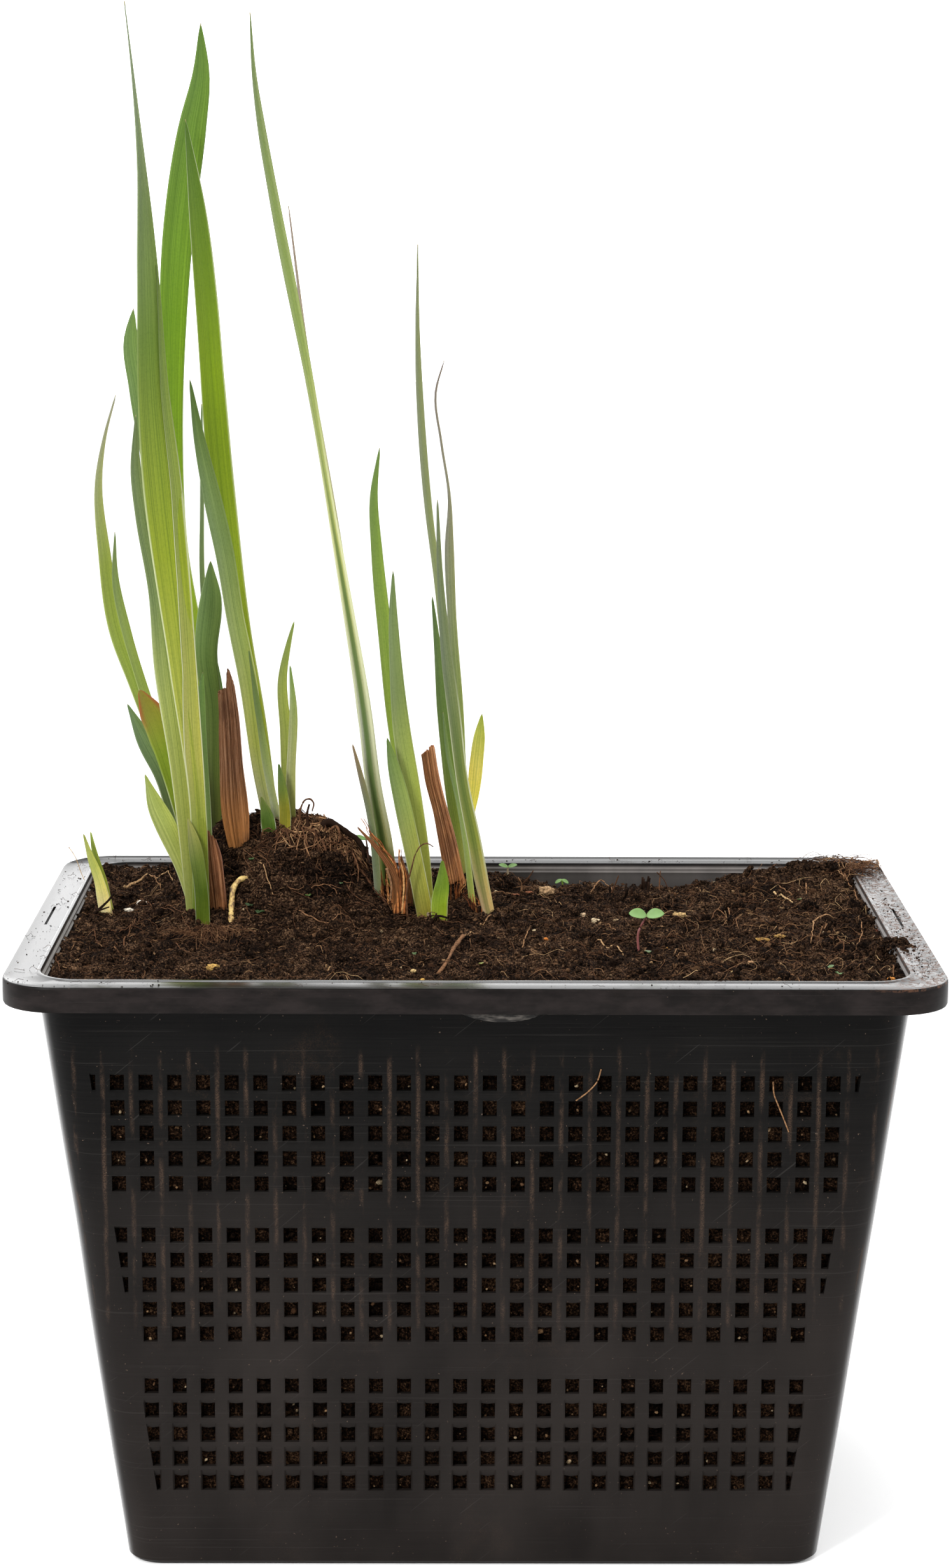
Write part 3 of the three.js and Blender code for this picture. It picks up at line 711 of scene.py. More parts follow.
def make_soil(material):
    """The filling: a fine rough top, and sides that follow the wall and show through its holes."""
    nx, ny, nz = SOIL_GRID["x"], SOIL_GRID["y"], SOIL_GRID["z"]
    size = body(SOIL_LEVEL)
    half_x, half_y, corner = size["x"] - SOIL_GAP, size["y"] - SOIL_GAP, size["corner"]

    def inside(u, v):
        """A place of the square grid, with those past a rounded corner drawn in to it."""
        x, y = u * half_x, v * half_y
        over_x, over_y = abs(x) - (half_x - corner), abs(y) - (half_y - corner)
        if over_x > 0 and over_y > 0:
            reach = max(over_x, over_y) / math.hypot(over_x, over_y)
            x = math.copysign(half_x - corner + over_x * reach, x)
            y = math.copysign(half_y - corner + over_y * reach, y)
        return x, y

    points, faces = [], []
    for j in range(ny + 1):
        for i in range(nx + 1):
            x, y = inside(2 * i / nx - 1, 2 * j / ny - 1)
            points.append((x, y, rough_soil(x, y)))
    for j in range(ny):
        for i in range(nx):
            a = j * (nx + 1) + i
            faces.append((a, a + 1, a + nx + 2, a + nx + 1))
    edge = list(range(nx))
    edge += [j * (nx + 1) + nx for j in range(ny)]
    edge += [ny * (nx + 1) + nx - i for i in range(nx)]
    edge += [(ny - j) * (nx + 1) for j in range(ny)]
    above = edge
    for level in range(1, nz + 1):
        start = len(points)
        for v in edge:
            x, y, top = points[v]
            z = top + (SOIL_FOOT - top) * level / nz
            here = body(z)
            scale_x = (here["x"] - SOIL_GAP) / half_x
            scale_y = (here["y"] - SOIL_GAP) / half_y
            place = Vector((x / 5, y / 5, z / 5))
            sunk = SIDE_HOLLOWS * (noise.fractal(place, 0.9, 2.1, 3) + 0.45)
            sunk = max(sunk, -0.1) * min(level / 4, 1)
            length = math.hypot(x, y)
            keep = 1 - sunk / length
            points.append((x * scale_x * keep, y * scale_y * keep, z))
        below = [start + k for k in range(len(edge))]
        for k in range(len(edge)):
            n = (k + 1) % len(edge)
            faces.append((above[k], below[k], below[n], above[n]))
        above = below
    faces.append(tuple(reversed(above)))
    mesh = to_mesh("soil_filling", points, faces, {"tone": np.zeros(len(points))})
    add_piece("soil_filling", mesh, material, ["soil"])


def ball(rounds):
    """The points and triangles of a ball made from an icosahedron."""
    bm = bmesh.new()
    bmesh.ops.create_icosphere(bm, subdivisions=rounds, radius=1.0)
    points = np.array([v.co for v in bm.verts])
    faces = np.array([[v.index for v in f.verts] for f in bm.faces])
    bm.free()
    return points, faces


BALLS = {1: ball(1), 2: ball(2)}


def lump(rng, centre, radius, rounds=1, flat=1.0):
    """One crumb: a ball with uneven points, squeezed and turned at random."""
    points, faces = BALLS[rounds]
    uneven = points * (1 + rng.normal(0, 0.16, (len(points), 1)))
    uneven = uneven * rng.uniform([0.7, 0.7, 0.6], [1.3, 1.1, 1.0]) * radius
    turn = np.array(Matrix.Rotation(rng.uniform(0, math.tau), 3, Vector(rng.normal(0, 1, 3)).normalized()))
    turned = uneven @ turn.T
    turned[:, 2] *= flat
    return turned + centre, faces


def pick_tone(rng):
    """Mostly dark crumbs, with a few reddish, tan and pale ones."""
    draw = rng.random()
    if draw < 0.80:
        return rng.uniform(0.05, 0.5)
    if draw < 0.93:
        return rng.uniform(0.5, 0.8)
    if draw < 0.985:
        return rng.uniform(0.8, 0.93)
    return rng.uniform(0.93, 1.0)


def random_ground(rng, margin=2.0):
    """A place anywhere on the soil, but for a margin along the walls."""
    size = body(SOIL_LEVEL)
    x = rng.uniform(-1, 1) * (size["x"] - SOIL_GAP - margin)
    y = rng.uniform(-1, 1) * (size["y"] - SOIL_GAP - margin)
    return x, y


def scattered(rng, place):
    """A random place; the given one holds a middle and a spread in x, then in y."""
    x, spread_x, y, spread_y = place
    return rng.normal(x, spread_x), rng.normal(y, spread_y)


def random_turn(rng, axis):
    """A turn by any angle about the upright axis, after a slight tip about the given one."""
    upright = Matrix.Rotation(rng.uniform(0, math.tau), 3, "Z")
    return np.array(upright @ Matrix.Rotation(rng.normal(0, 0.6), 3, axis))


def make_crumbs(material):
    """Crumbs of peat all over the soil's surface."""
    rng = np.random.default_rng(11)
    parts = []
    for _ in range(NUMBERS["crumbs"]):
        x, y = random_ground(rng)
        radius = min(0.9 + rng.exponential(0.5), 3.0)
        centre = (x, y, rough_soil(x, y) + radius * 0.15)
        parts.append((*lump(rng, centre, radius, 2), min(pick_tone(rng), 0.95 - 0.2 * radius)))
    for _ in range(NUMBERS["small_crumbs"]):
        x, y = random_ground(rng)
        radius = rng.uniform(0.3, 0.95)
        centre = (x, y, rough_soil(x, y) + radius * 0.4)
        parts.append((*lump(rng, centre, radius), pick_tone(rng)))
    # Dark clods, three in four of them on the mound and behind it
    for k in range(NUMBERS["clods"]):
        x, y = scattered(rng, CLOD_PLACE) if k % 4 else random_ground(rng)
        radius = rng.uniform(1.2, 3.0)
        centre = (x, y, rough_soil(x, y) - 0.5 * radius)
        parts.append((*lump(rng, centre, radius, 2, 0.8), rng.uniform(0.02, 0.34)))
    add_parts("soil_crumbs", parts, material)


def make_hole_crumbs(material):
    """Crumbs, stones and chips that show behind the holes in the walls."""
    rng = np.random.default_rng(23)
    parts = []
    for row in rows_of_holes():
        z = (row["foot"] + row["top"]) / 2
        size = body(z)
        for wall in range(4):
            key, across = ("x", "y") if wall % 2 == 0 else ("y", "x")
            along, normal = wall_directions(wall)
            for k in range(-HOLE_COLUMNS[key], HOLE_COLUMNS[key]):
                if not has_hole({"part": 1, "column": k, "wall": wall}, row):
                    continue
                for _ in range(rng.integers(1, 3)):
                    radius = rng.uniform(0.5, 1.5)
                    depth = WALL + radius * rng.uniform(0.3, 1.1)
                    level = (k + 0.5) * COLUMN_PITCH + rng.uniform(-2, 2)
                    height = z + rng.uniform(-2.4, 1.6)
                    x, y = along * level + normal * (size[across] - depth)
                    tone = pick_tone(rng) * rng.choice([0.7, 1.0])
                    parts.append((*lump(rng, (x, y, height), radius), tone))
                # Now and then a pale chip
                if rng.random() < 0.4:
                    level = (k + 0.5) * COLUMN_PITCH + rng.uniform(-2, 2)
                    x, y = along * level + normal * (size[across] - WALL - rng.uniform(0.1, 0.7))
                    centre = (x, y, z + rng.uniform(-2.4, -0.4))
                    parts.append((*lump(rng, centre, rng.uniform(0.25, 0.7)), rng.uniform(0.84, 1.0)))
    add_parts("soil_behind_holes", parts, material)


# Fibres and roots


def strand(path, radii, sides=4):
    """A closed thin tube along a path."""
    path = np.asarray(path, float)
    radii = np.broadcast_to(radii, len(path))
    tangent = np.gradient(path, axis=0)
    tangent /= np.linalg.norm(tangent, axis=1)[:, None] + 1e-9
    helper = np.where(np.abs(tangent[:, 2:3]) > 0.9, [[1.0, 0, 0]], [[0, 0, 1.0]])
    side = np.cross(tangent, helper)
    side /= np.linalg.norm(side, axis=1)[:, None] + 1e-9
    over = np.cross(side, tangent)
    angles = np.arange(sides) / sides * math.tau
    circle = side[:, None] * np.cos(angles)[None, :, None] + over[:, None] * np.sin(angles)[None, :, None]
    points = (path[:, None] + circle * radii[:, None, None]).reshape(-1, 3)
    return points, tube_triangles(len(path), sides)


def ground_fibre(rng, x, y, length, radius, curl, lift, heading=None):
    """A fibre that wanders over the soil, half sunk in it and half arching over it."""
    steps = max(5, int(length / 2.2))
    heading = rng.uniform(0, math.tau) if heading is None else heading
    bend = rng.normal(0, curl)
    phase = rng.uniform(0, math.tau)
    path = []
    for i in range(steps + 1):
        share = i / steps
        arch = lift * math.sin(share * math.pi) + 0.25 * math.sin(phase + share * 9)
        path.append((x, y, rough_soil(x, y) + arch + 0.1))
        heading += bend / steps + rng.normal(0, 0.16)
        x += math.cos(heading) * length / steps
        y += math.sin(heading) * length / steps
        x = float(np.clip(x, -FIBRE_LIMIT["x"], FIBRE_LIMIT["x"]))
        y = float(np.clip(y, -FIBRE_LIMIT["y"], FIBRE_LIMIT["y"]))
    radii = radius * (1 - 0.6 * np.linspace(0, 1, steps + 1))
    return strand(path, radii, 3)


ROOT_TONES = [(0.0, colour(14, 9, 6)), (0.35, colour(48, 31, 21)), (0.6, colour(94, 64, 44)),
              (0.8, colour(136, 102, 72)), (1.0, colour(190, 160, 116))]
HUSK_STREAKS = [(0.38, colour(38, 22, 13)), (0.45, colour(104, 66, 39)), (0.52, colour(160, 110, 68)),
                (0.62, colour(228, 184, 132))]
HUSK_TONES = [(0.0, colour(44, 25, 16)), (0.35, colour(96, 54, 32)), (0.6, colour(150, 88, 48)),
              (0.8, colour(184, 122, 70)), (1.0, colour(214, 168, 112))]


def fibre_material(name, tones):
    """Dry fibres, each with its own tone, darkened in spots."""
    t = Tree(name)
    tone = t.stored("tone")
    tint = t.ramp(tone, tones)
    fine = t.noise(t.place, 900, 3, 0.6)
    tint = t.mix(t.times(t.smooth(fine, 0.6, 0.35), 0.6), tint, colour(30, 18, 12))
    return t.finish({"Base Color": tint, "Roughness": 0.9, "Specular IOR Level": 0.05,
                     "Normal": t.bump(fine, 0.4, 0.2)})


def downhill(x, y):
    """The direction in which the ground falls most steeply at a place."""
    step = 2.0
    return math.atan2(soil_height(x, y - step) - soil_height(x, y + step),
                      soil_height(x - step, y) - soil_height(x + step, y))


def make_fibres(material):
    """Fibres and fine roots in the surface of the soil and on the mound."""
    rng = np.random.default_rng(31)
    parts = []
    for _ in range(NUMBERS["fibres"]):
        x, y = random_ground(rng, 4)
        length = min(4 + rng.exponential(6), 30)
        radius = rng.uniform(0.06, 0.17)
        fibre = ground_fibre(rng, x, y, length, radius, 1.8, rng.uniform(0, 1.6))
        parts.append((*fibre, 0.15 + 0.75 * rng.random() ** 1.6))
    for _ in range(NUMBERS["mound_fibres"]):
        x, y = scattered(rng, MOUND_FIBRE_PLACE)
        fibre = ground_fibre(rng, x, y, rng.uniform(5, 16), rng.uniform(0.1, 0.3), 2.2,
                             rng.uniform(0.2, 1.8), downhill(x, y) + rng.normal(0, 1.1))
        parts.append((*fibre, rng.uniform(0.15, 0.68)))
    add_parts("soil_fibres", parts, material)


def make_wiry_growth(material):
    """Short threads all over the soil, the radiating roots round the front shoots, and the curling
    hummock of roots on the mound."""
    rng = np.random.default_rng(47)
    parts = []
    for _ in range(NUMBERS["threads"]):
        x, y = random_ground(rng, 3)
        length = rng.uniform(1.2, 4.5)
        heading = rng.uniform(0, math.tau)
        bend = rng.normal(0, 0.8)
        path = []
        for _ in range(4):
            path.append((x, y, rough_soil(x, y) + rng.uniform(0.0, 0.7)))
            x += math.cos(heading) * length / 3
            y += math.sin(heading) * length / 3
            heading += bend
        parts.append((*strand(path, rng.uniform(0.05, 0.13), 3), 0.1 + 0.75 * rng.random() ** 1.7))
    # Pale curling threads, thickest at the right
    for k in range(NUMBERS["pale_threads"]):
        x, y = (rng.uniform(70, 135), rng.uniform(-75, 65)) if k % 3 else random_ground(rng, 4)
        fibre = ground_fibre(rng, x, y, rng.uniform(4, 17), rng.uniform(0.05, 0.14), 3.0,
                             rng.uniform(0.4, 2.6))
        parts.append((*fibre, 0.45 + 0.5 * rng.random() ** 1.5))
    # Fine roots that spread from the foot of the front shoots
    for _ in range(NUMBERS["front_roots"]):
        heading = math.radians(rng.uniform(-185, 5))
        start = rng.uniform(0, 6)
        x = FRONT_ROOTS["x"] + rng.normal(0, 2.5) + math.cos(heading) * start
        y = FRONT_ROOTS["y"] + math.sin(heading) * start
        fibre = ground_fibre(rng, x, y, rng.uniform(4, 17), rng.uniform(0.05, 0.12), 1.1,
                             rng.uniform(0.3, 2.0), heading)
        parts.append((*fibre, rng.uniform(0.4, 0.8)))
    # The roots that hang over the mound's brow
    for _ in range(NUMBERS["brow_roots"]):
        x = rng.uniform(-68, -41)
        y = 30 + rng.normal(0, 3)
        heading = math.radians(-90) + rng.normal(0, 0.5) + (x + 52) * 0.03
        fibre = ground_fibre(rng, x, y, rng.uniform(4, 13), rng.uniform(0.16, 0.46), 2.4,
                             rng.uniform(0.4, 2.4), heading)
        parts.append((*fibre, rng.uniform(0.42, 0.86)))
    for foot_x, foot_y in TUFT_FEET:
        for _ in range(NUMBERS["tuft_roots"]):
            heading = rng.uniform(0, math.tau)
            x = foot_x + math.cos(heading) * 3
            y = foot_y + math.sin(heading) * 2
            fibre = ground_fibre(rng, x, y, rng.uniform(5, 12), rng.uniform(0.14, 0.32), 2.6,
                                 rng.uniform(1, 3), heading + 1.2)
            parts.append((*fibre, rng.uniform(0.1, 0.7)))
    add_parts("soil_threads", parts, material)


def make_grains(material):
    """Fine angular grains that give the peat its grit."""
    rng = np.random.default_rng(53)
    corners = np.array([(1, 0, 0), (-1, 0, 0), (0, 1, 0), (0, -1, 0), (0, 0, 1), (0, 0, -1)], float)
    sides = np.array([(0, 2, 4), (2, 1, 4), (1, 3, 4), (3, 0, 4), (2, 0, 5), (1, 2, 5), (3, 1, 5), (0, 3, 5)])
    parts = []
    for k in range(NUMBERS["grains"]):
        x, y = random_ground(rng)
        size = rng.uniform([0.3, 0.18, 0.15], [1.3, 0.55, 0.45]) * (1.9 if k % 14 == 0 else 1)
        grain = corners * size * rng.uniform(0.8, 1.2, (6, 3))
        turn = random_turn(rng, "Y")
        centre = (x, y, rough_soil(x, y) + rng.uniform(0.0, 0.5))
        parts.append((grain @ turn.T + centre, sides, 0.62 * rng.random() if k % 3 else pick_tone(rng)))
    # Flat reddish and tan flakes, half of them on the mound
    for k in range(NUMBERS["flakes"]):
        x, y = random_ground(rng, 4) if k % 2 else scattered(rng, FLAKE_PLACE)
        size = rng.uniform([0.7, 0.35, 0.08], [2.4, 0.9, 0.2])
        flake = corners * size * rng.uniform(0.7, 1.3, (6, 3))
        turn = random_turn(rng, "X")
        centre = (x, y, rough_soil(x, y) + rng.uniform(0.2, 0.8))
        parts.append((flake @ turn.T + centre, sides, rng.uniform(0.55, 0.9)))
    add_parts("soil_grains", parts, material, smooth=False)


# What lies on the soil where the photograph shows it. Each straw or root: the places it passes,
# its radius, its greatest lift off the soil and its tone
STRAWS = [
    ([(-76, 16), (-73, 13), (-71, 9), (-69, 5)], 0.28, 0.8, 0.85),
    ([(-126, 60), (-122, 63.5), (-116, 64.5)], 0.95, 0.5, 0.86),
    ([(-116, 64), (-111, 61), (-107, 54)], 0.28, 1.0, 0.88),
    ([(-117, 66), (-111, 50)], 0.35, 1.0, 0.75),
    ([(-115, 29), (-105, 7), (-95, -14)], 0.28, 1.2, 0.55),
    ([(-118, 36), (-106, 12), (-96, -6)], 0.24, 1.0, 0.6),
    ([(-117, -34), (-117, -19), (-115, 15)], 0.25, 0.8, 0.6),
    ([(-130, -4), (-125, -31)], 0.22, 0.6, 0.5),
    ([(-123, -12), (-114, -8)], 0.30, 0.6, 0.5),
    ([(-137, -50), (-134, -64)], 0.25, 0.8, 0.55),
    ([(-100, -24), (-95, -40), (-92, -46)], 0.2, 0.6, 0.6),
    ([(133, 73), (136, 63)], 0.30, 0.8, 0.65),
    ([(135, 72), (136, 60), (136, 37)], 0.35, 1.0, 0.7),
    ([(108, 55), (114, 44)], 0.50, 0.8, 0.95),
    ([(110, 58), (114, 50)], 0.30, 0.9, 0.7),
    ([(120, 61), (119, 49)], 0.30, 0.8, 0.75),
    ([(89, 33), (89, 13), (90, -5)], 0.30, 1.2, 0.7),
    ([(89, 13), (85, -1)], 0.25, 1.0, 0.8),
    ([(89, 15), (85, 23), (82, 12)], 0.25, 1.4, 0.65),
    ([(124, 9), (118, 5), (115, -10), (113, -22)], 0.35, 1.6, 0.82),
    ([(124, -2), (119, -9), (116, -18)], 0.30, 1.0, 0.72),
    ([(133, 2), (130, -20), (127, -31)], 0.30, 1.0, 0.78),
    ([(118, -14), (123, -26), (121, -40)], 0.25, 1.0, 0.6),
    ([(135, -61), (134, -72)], 0.28, 1.2, 0.7),
    ([(42, 51), (46, 55), (50, 52)], 0.32, 3.0, 0.8),
    ([(41, -19), (46, -31), (50, -48)], 0.35, 0.8, 0.86),
    ([(45, 3), (51, -12)], 0.25, 0.6, 0.7),
    ([(16, -27), (19, -7)], 0.30, 0.8, 0.78),
    ([(2, -1), (10, 8)], 0.35, 0.8, 0.82),
    ([(-6, -24), (1, -11)], 0.35, 0.8, 0.84),
    ([(5, 40), (12, 44), (16, 52)], 0.32, 1.4, 0.68),
    ([(-41, 21), (-38, 20), (-34, 18), (-32, 16), (-29, 14)], 0.65, 0.8, 0.5),
    ([(-60, 0), (-50, -4), (-44, 2)], 0.35, 0.8, 0.7),
    ([(-57, 8), (-50, 10), (-46, 7)], 0.30, 0.8, 0.66),
]
STRAW_STEPS = 22
# Stems, roots and hairs that stand free: the places they pass, their radius and their tone
HANGING = [
    ([(-61, 30, 227), (-60.5, 30, 232), (-58.9, 30, 234.8), (-57.1, 29, 235.2), (-56, 28, 234.1),
      (-56.5, 28, 231.1)], 0.42, 0.5),
    ([(-58, 29, 225), (-58.2, 29, 230.7), (-57.5, 29, 233.4)], 0.6, 0.3),
    ([(-53, 28, 226), (-51, 28, 227.4), (-47.9, 27, 226.3), (-44, 27, 223.6), (-40.9, 27, 221.5),
      (-38.9, 26, 218.8), (-38.4, 25, 214)], 1.15, 0.1),
    ([(-50, 26, 225), (-48, 25, 226.4), (-46.9, 24, 224.4), (-47.2, 24, 221)], 0.5, 0.62),
    ([(-30.3, 13, 214.2), (-28.6, 12, 208.4), (-29, 11, 203)], 0.5, 0.72),
    ([(-23, 8, 198), (-23.3, 8, 205), (-22.8, 8, 210.4), (-21.5, 8, 215.5), (-20.2, 8, 220.2),
      (-18.2, 8, 223.3), (-16.3, 8, 224), (-14.1, 8, 222.7)], 0.32, 0.55),
    ([(-145.4, 60, 211.5), (-143.4, 60, 208.4), (-140.7, 60, 201), (-138, 58, 196.5)], 0.14, 0.95),
    ([(17, 54, 196), (17.3, 54, 199.6), (16, 54, 202)], 0.35, 0.72),
    ([(17.3, 54, 199.4), (19, 54, 201), (21.5, 55, 204.4)], 0.3, 0.45),
    ([(67, 59, 195), (67.1, 59, 200), (67.3, 59, 203.5)], 0.3, 0.6),
    ([(66, 59, 203), (68.5, 58, 200.5), (70.5, 57, 195.5)], 0.2, 0.4),
    ([(48, 44, 196), (50, 44, 201), (51.5, 44, 205)], 0.35, 0.45),
    ([(-82, 8, 205), (-81, 5, 200.5), (-79, 0, 199.5)], 0.2, 0.5),
    ([(-131, 13, 198), (-128.5, 12, 200.5), (-126, 12, 203), (-124.5, 13, 205)], 0.5, 0.05),
    ([(-130, 12, 199), (-126, 11.5, 200.5)], 0.35, 0.12),
    ([(-15, 3.5, 197), (-12.5, 3, 199.5), (-9, 3.5, 198.8)], 0.5, 0.05),
    ([(-9, 3.5, 196.5), (-8, 3.5, 199.5), (-7.6, 3.5, 202)], 0.4, 0.08),
]
HANGING_STEPS = 26
# The dark woody stubs at the back: foot, width, height and number of splinters
STUBS = [(60.5, 44, 1.3, 9.5, 16), (53, 44, 2.6, 5.5, 18)]
# The weathered twig at the front
TWIG = [(-12, -69, 197.2), (-10, -63, 198.5), (-7, -42, 199.2), (-4, -26, 199.4)]
TWIG_STEPS = 30
# Bits of stone, chip and shell: place, length, width, height, turn and colour
STONES = [
    (-85, -59, 4.4, 2.8, 2.2, 10, (178, 142, 78)),
    (26, 52, 5.6, 4.4, 3.6, 20, (160, 130, 96)),
    (38, 19, 2.2, 1.8, 1.6, 0, (186, 160, 128)),
    (42, 15, 3.8, 2.6, 2.2, 15, (190, 170, 138)),
    (49, 10, 2.2, 1.2, 1.0, 0, (184, 158, 122)),
    (37, -12, 2.4, 1.4, 1.1, 0, (212, 188, 146)),
    (8, 47, 1.3, 1.2, 1.1, 0, (226, 206, 164)),
    (15, 47, 3.0, 1.2, 0.8, 0, (150, 92, 66)),
    (20, 49, 2.7, 1.1, 0.8, 0, (156, 98, 70)),
    (96, -19, 7.0, 4.6, 1.4, 12, (146, 112, 52)),
    (103, -17, 3.6, 3.0, 1.2, 0, (158, 124, 66)),
    (136.5, -6, 2.6, 2.2, 1.4, 30, (118, 56, 46)),
    (133, -74, 2.8, 1.6, 1.3, 0, (206, 134, 60)),
    (71, 11, 5.0, 2.6, 1.8, -10, (176, 146, 98)),
    (134, -39, 1.1, 1.0, 1.0, 0, (206, 150, 74)),
    (127, -61, 1.1, 1.0, 1.0, 0, (206, 162, 90)),
    (64, -33, 1.5, 1.3, 1.2, 0, (200, 140, 60)),
    (24, -18, 1.4, 1.2, 1.1, 0, (206, 124, 54)),
    (-116.5, 30, 4.6, 1.7, 2.0, -35, (232, 222, 206)),
    (-120, 21, 3.8, 1.5, 1.4, -18, (228, 218, 200)),
    (-14, -5, 1.6, 1.0, 0.9, 0, (212, 170, 60)),
    (-20, -66, 1.8, 1.4, 1.2, 0, (196, 168, 116)),
    (-17, -74, 1.6, 1.2, 1.0, 0, (204, 160, 84)),
    (83, -66, 2.6, 1.0, 0.9, 40, (214, 186, 128)),
    (90, -50, 2.0, 1.6, 1.1, 0, (190, 148, 110)),
]
# Seedlings: foot, stem's lean in x and height, the leaves' length, width and rise, and the stem's
# colour
SEEDLINGS = [
    {"foot": (54, -41), "lean": 2.4, "height": 11.5, "leaf": (5.8, 3.9), "rise": 14, "stem": (140, 74, 76)},
    {"foot": (12.5, 65), "lean": 0.0, "height": 2.8, "leaf": (3.4, 1.6), "rise": 20, "stem": (170, 150, 124)},
    {"foot": (33, 78), "lean": -0.5, "height": 4.5, "leaf": (2.8, 1.3), "rise": -25, "stem": (128, 158, 56)},
    {"foot": (-37, 31), "lean": -0.8, "height": 9.6, "leaf": (4.8, 2.0), "rise": 14, "stem": (104, 66, 58)},
]
SEEDLING_GREEN = (118, 154, 86)
# Tufts of moss: place, size and colour
MOSS = [
    (115, -60, 1.9, (75, 102, 47)), (117.5, -65, 1.8, (81, 108, 51)), (-77, 1, 1.9, (34, 55, 22)),
    (-73.5, 0, 2.0, (39, 62, 25)), (-57, 5, 1.2, (66, 89, 27)), (-46, 12, 0.9, (47, 68, 31)),
    (129, 52, 1.2, (86, 104, 31)), (116, 44, 1.0, (75, 92, 31)), (-77, 15, 1.3, (69, 90, 48)),
    (-20, -47, 1.0, (58, 81, 30)), (57, -43, 1.4, (66, 83, 32)), (2, -64, 1.0, (117, 118, 37)),
]


def tinted_material(name, roughness, relief):
    """A matt material whose colour is stored on the mesh, broken up by fine noise."""
    t = Tree(name)
    tint = t.stored("tint", "Color")
    fine = t.noise(t.place, 1100, 4, 0.7)
    mottled = t.mix(t.times(t.smooth(fine, 0.58, 0.42), 0.7), tint, colour(56, 41, 28))
    return t.finish({"Base Color": mottled, "Roughness": roughness, "Specular IOR Level": 0.1,
                     "Normal": t.bump(fine, relief, 0.5)})


def curve_through(places, count):
    """Evenly spread places on a smooth curve through a few of them, and how far along each lies.
    Only the first three columns measure the way."""
    places = np.asarray(places, float)
    gaps = np.linalg.norm(np.diff(places[:, :3], axis=0), axis=1)
    reach = np.concatenate([[0], np.cumsum(gaps)])
    where = np.linspace(0, reach[-1], count)
    slopes = np.gradient(places, reach, axis=0)
    span = np.clip(np.searchsorted(reach, where, side="right") - 1, 0, len(gaps) - 1)
    t = ((where - reach[span]) / gaps[span])[:, None]
    h = gaps[span][:, None]
    curve = ((2 * t**3 - 3 * t**2 + 1) * places[span] + (t**3 - 2 * t**2 + t) * h * slopes[span]
             + (3 * t**2 - 2 * t**3) * places[span + 1] + (t**3 - t**2) * h * slopes[span + 1])
    return curve, where, span


def make_straws(material):
    """The straws, roots, stubs and twig that can be told apart in the photograph."""
    rng = np.random.default_rng(61)
    parts = []
    for places, radius, lift, tone in STRAWS:
        flat, _, _ = curve_through([(x, y, 0) for x, y in places], STRAW_STEPS)
        path = []
        for i, (x, y, _) in enumerate(flat):
            share = i / (STRAW_STEPS - 1)
            wobble = rng.normal(0, 0.12, 2)
            height = rough_soil(x, y) + 0.3 + lift * math.sin(share * math.pi)
            path.append((x + wobble[0], y + wobble[1], height))
        taper = 1.1 - 0.5 * np.linspace(0, 1, STRAW_STEPS)
        radii = 0.75 * radius * taper * rng.uniform(0.8, 1.2, STRAW_STEPS)
        parts.append((*strand(path, radii, 5), tone))
    for places, radius, tone in HANGING:
        path, _, _ = curve_through(places, HANGING_STEPS)
        taper = 1.15 - 0.5 * np.linspace(0, 1, HANGING_STEPS)
        radii = radius * taper * rng.uniform(0.88, 1.12, HANGING_STEPS)
        parts.append((*strand(path, radii, 6), tone))
    for foot_x, foot_y, wide, high, count in STUBS:
        for _ in range(count):
            x = foot_x + rng.normal(0, wide * 0.6)
            y = foot_y + rng.normal(0, 1.2)
            top = high * rng.uniform(0.55, 1.05)
            lean = rng.normal(0, 0.6) + (0.5 if wide > 2 else 0.3)
            path = [(x, y, 194.5), (x + lean * 0.5, y, 196 + top * 0.5), (x + lean, y, 196 + top)]
            parts.append((*strand(curve_through(path, 8)[0], rng.uniform(0.2, 0.5), 4), rng.uniform(0, 0.22)))
    twig, _, _ = curve_through(TWIG, TWIG_STEPS)
    radii = 0.6 * rng.uniform(0.65, 1.35, TWIG_STEPS)
    parts.append((*strand(twig, radii, 7), 0.66))
    add_parts("soil_straws", parts, material)


def make_stones():
    """Small uneven stones, chips and bits of shell."""
    rng = np.random.default_rng(67)
    points, faces = ball(3)
    parts = []
    for x, y, length, width, height, turn, tint in STONES:
        uneven = np.array([1 + 0.34 * noise.noise(Vector(p) * 2.2 + Vector((x, y, 0)))
                           + 0.26 * noise.noise(Vector(p) * 5 + Vector((x, y, 3))) for p in points])
        shape = points * uneven[:, None] * (length / 2, width / 2, height / 2)
        angle = np.radians(turn + rng.normal(0, 6))
        spun = shape @ np.array([(math.cos(angle), math.sin(angle), 0),
                                 (-math.sin(angle), math.cos(angle), 0), (0, 0, 1)])
        centre = (x, y, rough_soil(x, y) + 0.25 + height * 0.35)
        parts.append((spun + centre, faces, np.tile(colour(*tint)[:3], (len(points), 1))))
    add_parts("soil_stones", parts, tinted_material("stone_bits", 0.85, 1.2), "tint")


